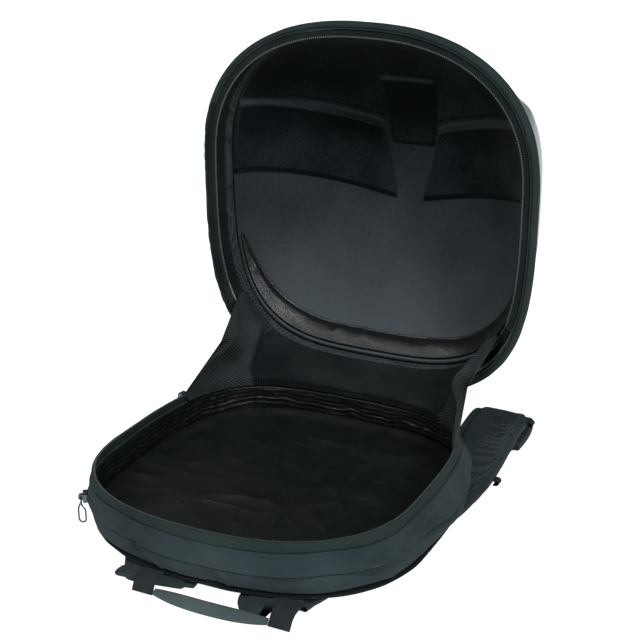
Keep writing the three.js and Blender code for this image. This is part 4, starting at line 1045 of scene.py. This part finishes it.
def ribbon(path, section, across, swell=None):
    """A band with a section carried along a path; across is the section's first direction."""
    path = np.asarray(path, float)
    ahead = unit(np.gradient(path, axis=0))
    wide = np.broadcast_to(np.asarray(across, float), path.shape)
    wide = unit(wide - (wide * ahead).sum(axis=1, keepdims=True) * ahead)
    up = np.cross(wide, ahead)
    a, b = section[:, 0][None, :, None], section[:, 1][None, :, None]
    points = path[:, None] + wide[:, None] * a + up[:, None] * b
    if swell is not None:
        points = points + up[:, None] * swell(points)[..., None] * np.sign(b)
    return points


def strap_section(width, thickness):
    """A padded section with a rolled binding at each edge; result in metres."""
    w, t = width / 2, thickness / 2
    corners = [(w, 0), (w - 1, 0.42 * t), (w - 5, 0.5 * t)]
    corners += [(w - 8, 0.55 * t), (w - 11, 0.95 * t), (w - 20, t)]
    top = corners + [(-x, z) for x, z in corners[::-1]]
    under = [(x, -z) for x, z in top[::-1][1:-1]]
    return spline(np.array(top + under) * MM, 3, closed=True)


def shoulder_strap(name, side):
    rows = []
    for along, out, rise in STRAP_PATH:
        shift = STRAP_TOP_SHIFT * min(max(along / STRAP_PATH[0][0], 0), 1) ** 2
        if along == STRAP_PATH[0][0]:
            along = STRAP_START[name]
        z = STRAP_THICKNESS / 2 + rise * (STRAP_FOLD_HEIGHT - STRAP_THICKNESS / 2)
        rows.append((side * out * STRAP_SIDE + shift, along * STRAP_REACH, z))
    path = spline(np.array(rows) * MM, 22)
    section = refined(strap_section(STRAP_WIDTH, STRAP_THICKNESS), 2 * MM)

    def swell(points):
        wide = noise(points * np.array([1, 1, 0]), 30 * MM, 91) - 0.5
        soft = ridges(points * np.array([0.4, 1, 0]), 24 * MM, 92)
        total = wide * 1.2 - soft * 0.9
        outward = side * points[..., 0] / MM - STRAP_SIDE
        for start, end in STRAP_CREASES:
            away = segment_distance(outward, points[..., 1] / MM, start, end)
            total = total - 2.2 * np.exp(-((away / 1.5) ** 2)) + 0.9 * np.exp(-(((away - 4) / 2.2) ** 2))
        return total * MM

    points = ribbon(path, section, (1, 0, 0), swell)
    place = np.linspace(0, len(STRAP_PATH) - 1, len(path))
    stuffed = FOLD_FILL * smoothstep(6.2, 8.5, place)[:, None, None]
    inner = (section[:, 1] < 0)[None, :, None]
    middle = path[:, None]
    across = np.array([1, 0, 0])
    widened = 0.22 * smoothstep(2.6, 0, place)[:, None, None] if side < 0 else 0.0
    points = points + (points - middle) * across * widened
    lift = (points - middle) * (1 - across)
    points = points + lift * stuffed * inner
    points[..., 2] = np.maximum(points[..., 2], 0.05 * MM)
    edge = np.abs(section[:, 0]) > (STRAP_WIDTH / 2 - 8) * MM
    plain = side * section[:, 0] < STRAP_BORDER * MM
    tucked = place[:-1, None] < STRAP_SMOOTH_END[name]
    piece = loft(f"strap_padding_{name}", points)
    dress(piece, [STRAP, MESH], "mesh_cloth", f"strap_{name}")
    paint(piece, ~(edge | plain | tucked))


WEBBING_PATH = [
    (1, 0.807, 0.15), (1, 0.775, 0.15), (0.92, 0.745, 0.15), (0.79, 0.72, 0.15),
    (0.68, 0.69, 0.15), (0.6, 0.64, 0.25), (0.585, 0.585, 0.6), (0.585, 0.54, 0.88),
]


def strap_webbing(name, side):
    rows = np.array(WEBBING_PATH) * (side * STRAP_SIDE, STRAP_REACH, STRAP_THICKNESS)
    path = spline(rows * MM, 10)
    section = flat_section(12.5, 1, 0.8)
    points = ribbon(path, section, (1, 0, 0))
    piece = loft(f"webbing_{name}", points)
    dress(piece, WEBBING, "webbing", f"strap_webbing_{name}")


def strap_loop(name, node):
    """A small tab of webbing folded into a loop, on the outer edge of a strap."""
    low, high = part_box(node)
    middle = (low + high) / 2
    side = 1 if middle.x > 0 else -1
    half = (high.z - low.z) / 2
    inner = half - 1.1 * MM
    straight = (high.x - low.x) - half
    start = low.x if side > 0 else high.x
    turns = np.linspace(-math.pi / 2, math.pi / 2, 12)

    def bend(radius):
        arc = [(straight + radius * math.cos(t), radius * math.sin(t)) for t in turns]
        curve = [(0, -radius), *arc, (0, radius)]
        return [(start + side * x, middle.z + z) for x, z in curve]

    outside, inside = bend(half), bend(inner)
    rows = []
    for y in (low.y, low.y + 0.6 * MM, high.y - 0.6 * MM, high.y):
        pinch = 0.35 * MM if y in (low.y, high.y) else 0
        rows.append([(x - side * pinch, y, z) for x, z in outside] + [(x, y, z) for x, z in inside[::-1]])
    piece = loft(name, np.array(rows))
    dress(piece, WEBBING, "webbing", node)


# Handle

SEAM_Z = PANEL_BOTTOM + 2.2 * MM
GRIP_TILT = 32
GRIP_WIDTH = 12


def handle():
    """The bowed grip between its two anchors; each follows the middle of its CAD node."""
    grip_low, grip_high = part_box("handle_grip")
    tilt = math.radians(GRIP_TILT)
    shift = (grip_low.x + grip_high.x) / 2
    half = (grip_high.x - grip_low.x) / 2
    x = np.linspace(shift - half, shift + half, 80)
    away = (x - shift) / half
    outermost = grip_low.y + (GRIP_WIDTH / 2) * MM * math.cos(tilt) + 1.2 * MM
    y = outermost + 0.02 * (x - shift) + 4 * MM * away**2
    z = np.full_like(x, (grip_low.z + grip_high.z) / 2)
    path = np.stack([x, y, z], axis=1)
    w = GRIP_WIDTH / 2
    corners = [(w, -1.0), (w, 1.0), (w - 1.6, 2.4), (w - 3.2, 2.6), (w - 4.2, 1.9), (w - 5.4, 2.5)]
    corners += [(-w + 2.5, 2.5), (-w + 0.6, 1.6), (-w, 0), (-w + 0.6, -1.6), (-w + 3, -2.4), (w - 3, -2.4)]
    section = spline(np.array(corners) * MM, 4, closed=True)
    points = ribbon(path, section, (0, math.cos(tilt), math.sin(tilt)))
    slim = 1 - 0.5 * np.abs(away) ** 3
    points = path[:, None] + (points - path[:, None]) * slim[:, None, None]
    piece = loft("grip_cloth", points)
    dress(piece, GRIP, "outer_cloth", "handle_grip")
    for name in ("left", "right"):
        node = f"handle_anchor_{name}"
        low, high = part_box(node)
        middle = (low.x + high.x) / 2
        grip_z = z[0]
        between = (SEAM_Z + grip_z) / 2 + 1 * MM
        run = high.y - low.y
        rows = [(0, SEAM_Z), (0.5, SEAM_Z), (0.75, between), (0.9, grip_z), (0.98, grip_z / 2)]
        path = spline([(middle, high.y - s * run, h) for s, h in rows], 8)
        section = flat_section(10, 1.5, 1.0)
        points = ribbon(path, section, (1, 0, 0))
        dress(loft(f"anchor_{name}", points), WEBBING, "webbing", node)


# Zip hardware


def zip_hardware():
    """The CAD sliders and pull keep their shape and get a worn metal finish."""
    for node in ("lower_slider", "lower_pull", "main_slider_rear", "main_slider_front"):
        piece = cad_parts[node]
        piece.data.materials.clear()
        piece.data.materials.append(METAL)


# Stage

CAMERA_AZIMUTH = 26.42
CAMERA_ELEVATION = 20.87
CAMERA_ROLL = -0.24
CAMERA_DISTANCE = 1.2684
CAMERA_TARGET = Vector((0.0192, 0.05, 0.1813))
CAMERA_LENS = 77.0


def direction(azimuth, elevation):
    """The way to a place round the pack; azimuth 0 is at the handle end, 90 at the right."""
    a, e = math.radians(azimuth), math.radians(elevation)
    return Vector((math.sin(a) * math.cos(e), -math.cos(a) * math.cos(e), math.sin(e)))


def add_camera():
    back = direction(CAMERA_AZIMUTH, CAMERA_ELEVATION)
    data = bpy.data.cameras.new("camera")
    data.lens = CAMERA_LENS
    data.sensor_width = 36
    camera = placed("camera", data)
    camera.location = CAMERA_TARGET + back * CAMERA_DISTANCE
    turn = (-back).to_track_quat("-Z", "Y")
    camera.rotation_mode = "QUATERNION"
    camera.rotation_quaternion = turn @ Quaternion((0, 0, 1), math.radians(CAMERA_ROLL))
    bpy.context.scene.camera = camera


def sun(name, azimuth, elevation, strength, softness):
    """A soft studio light; azimuth and elevation say where it shines from."""
    data = bpy.data.lights.new(name, "SUN")
    data.energy = strength
    data.angle = math.radians(softness)
    lamp = placed(name, data)
    lamp.rotation_mode = "QUATERNION"
    lamp.rotation_quaternion = (-direction(azimuth, elevation)).to_track_quat("-Z", "Y")


def add_stage():
    floor = grid_mesh("floor", [[(-12, -12, 0), (12, -12, 0)], [(-12, 12, 0), (12, 12, 0)]], (False, False))
    look = Graph("pale_floor", (0.3, 0.3, 0.3), 0.9, Emission_Color=(1, 1, 1, 1), Emission_Strength=0.97)
    floor.data.materials.append(look.finish())
    world = bpy.data.worlds.new("studio")
    world.use_nodes = True
    world.node_tree.nodes["Background"].inputs["Color"].default_value = (1, 1, 1, 1)
    world.node_tree.nodes["Background"].inputs["Strength"].default_value = 0.2
    bpy.context.scene.world = world
    sun("right_softbox", 55, 36, 2.2, 18)
    sun("left_softbox", -20, 44, 1.15, 14)
    sun("top_softbox", 20, 72, 0.9, 30)
    bpy.context.scene.view_settings.view_transform = "Standard"


add_camera()
add_stage()
lid_shell()
lid_rim()
lid_zip_tape()
lid_facing()
lid_lining()
lid_pocket()
shell_trims()
tray_walls()
lower_zip()
tray_zip()
tray_lining()
back_panel()
back_pad()
hinge = hinge_panel()
for name, side in (("left", -1), ("right", 1)):
    gusset(name, side, hinge)
    shoulder_strap(name, side)
    strap_webbing(name, side)
    strap_loop(f"tip_loop_{name}", f"strap_tip_loop_{name}")
    strap_loop(f"side_loop_{name}", f"strap_side_loop_{name}")
handle()
zip_hardware()
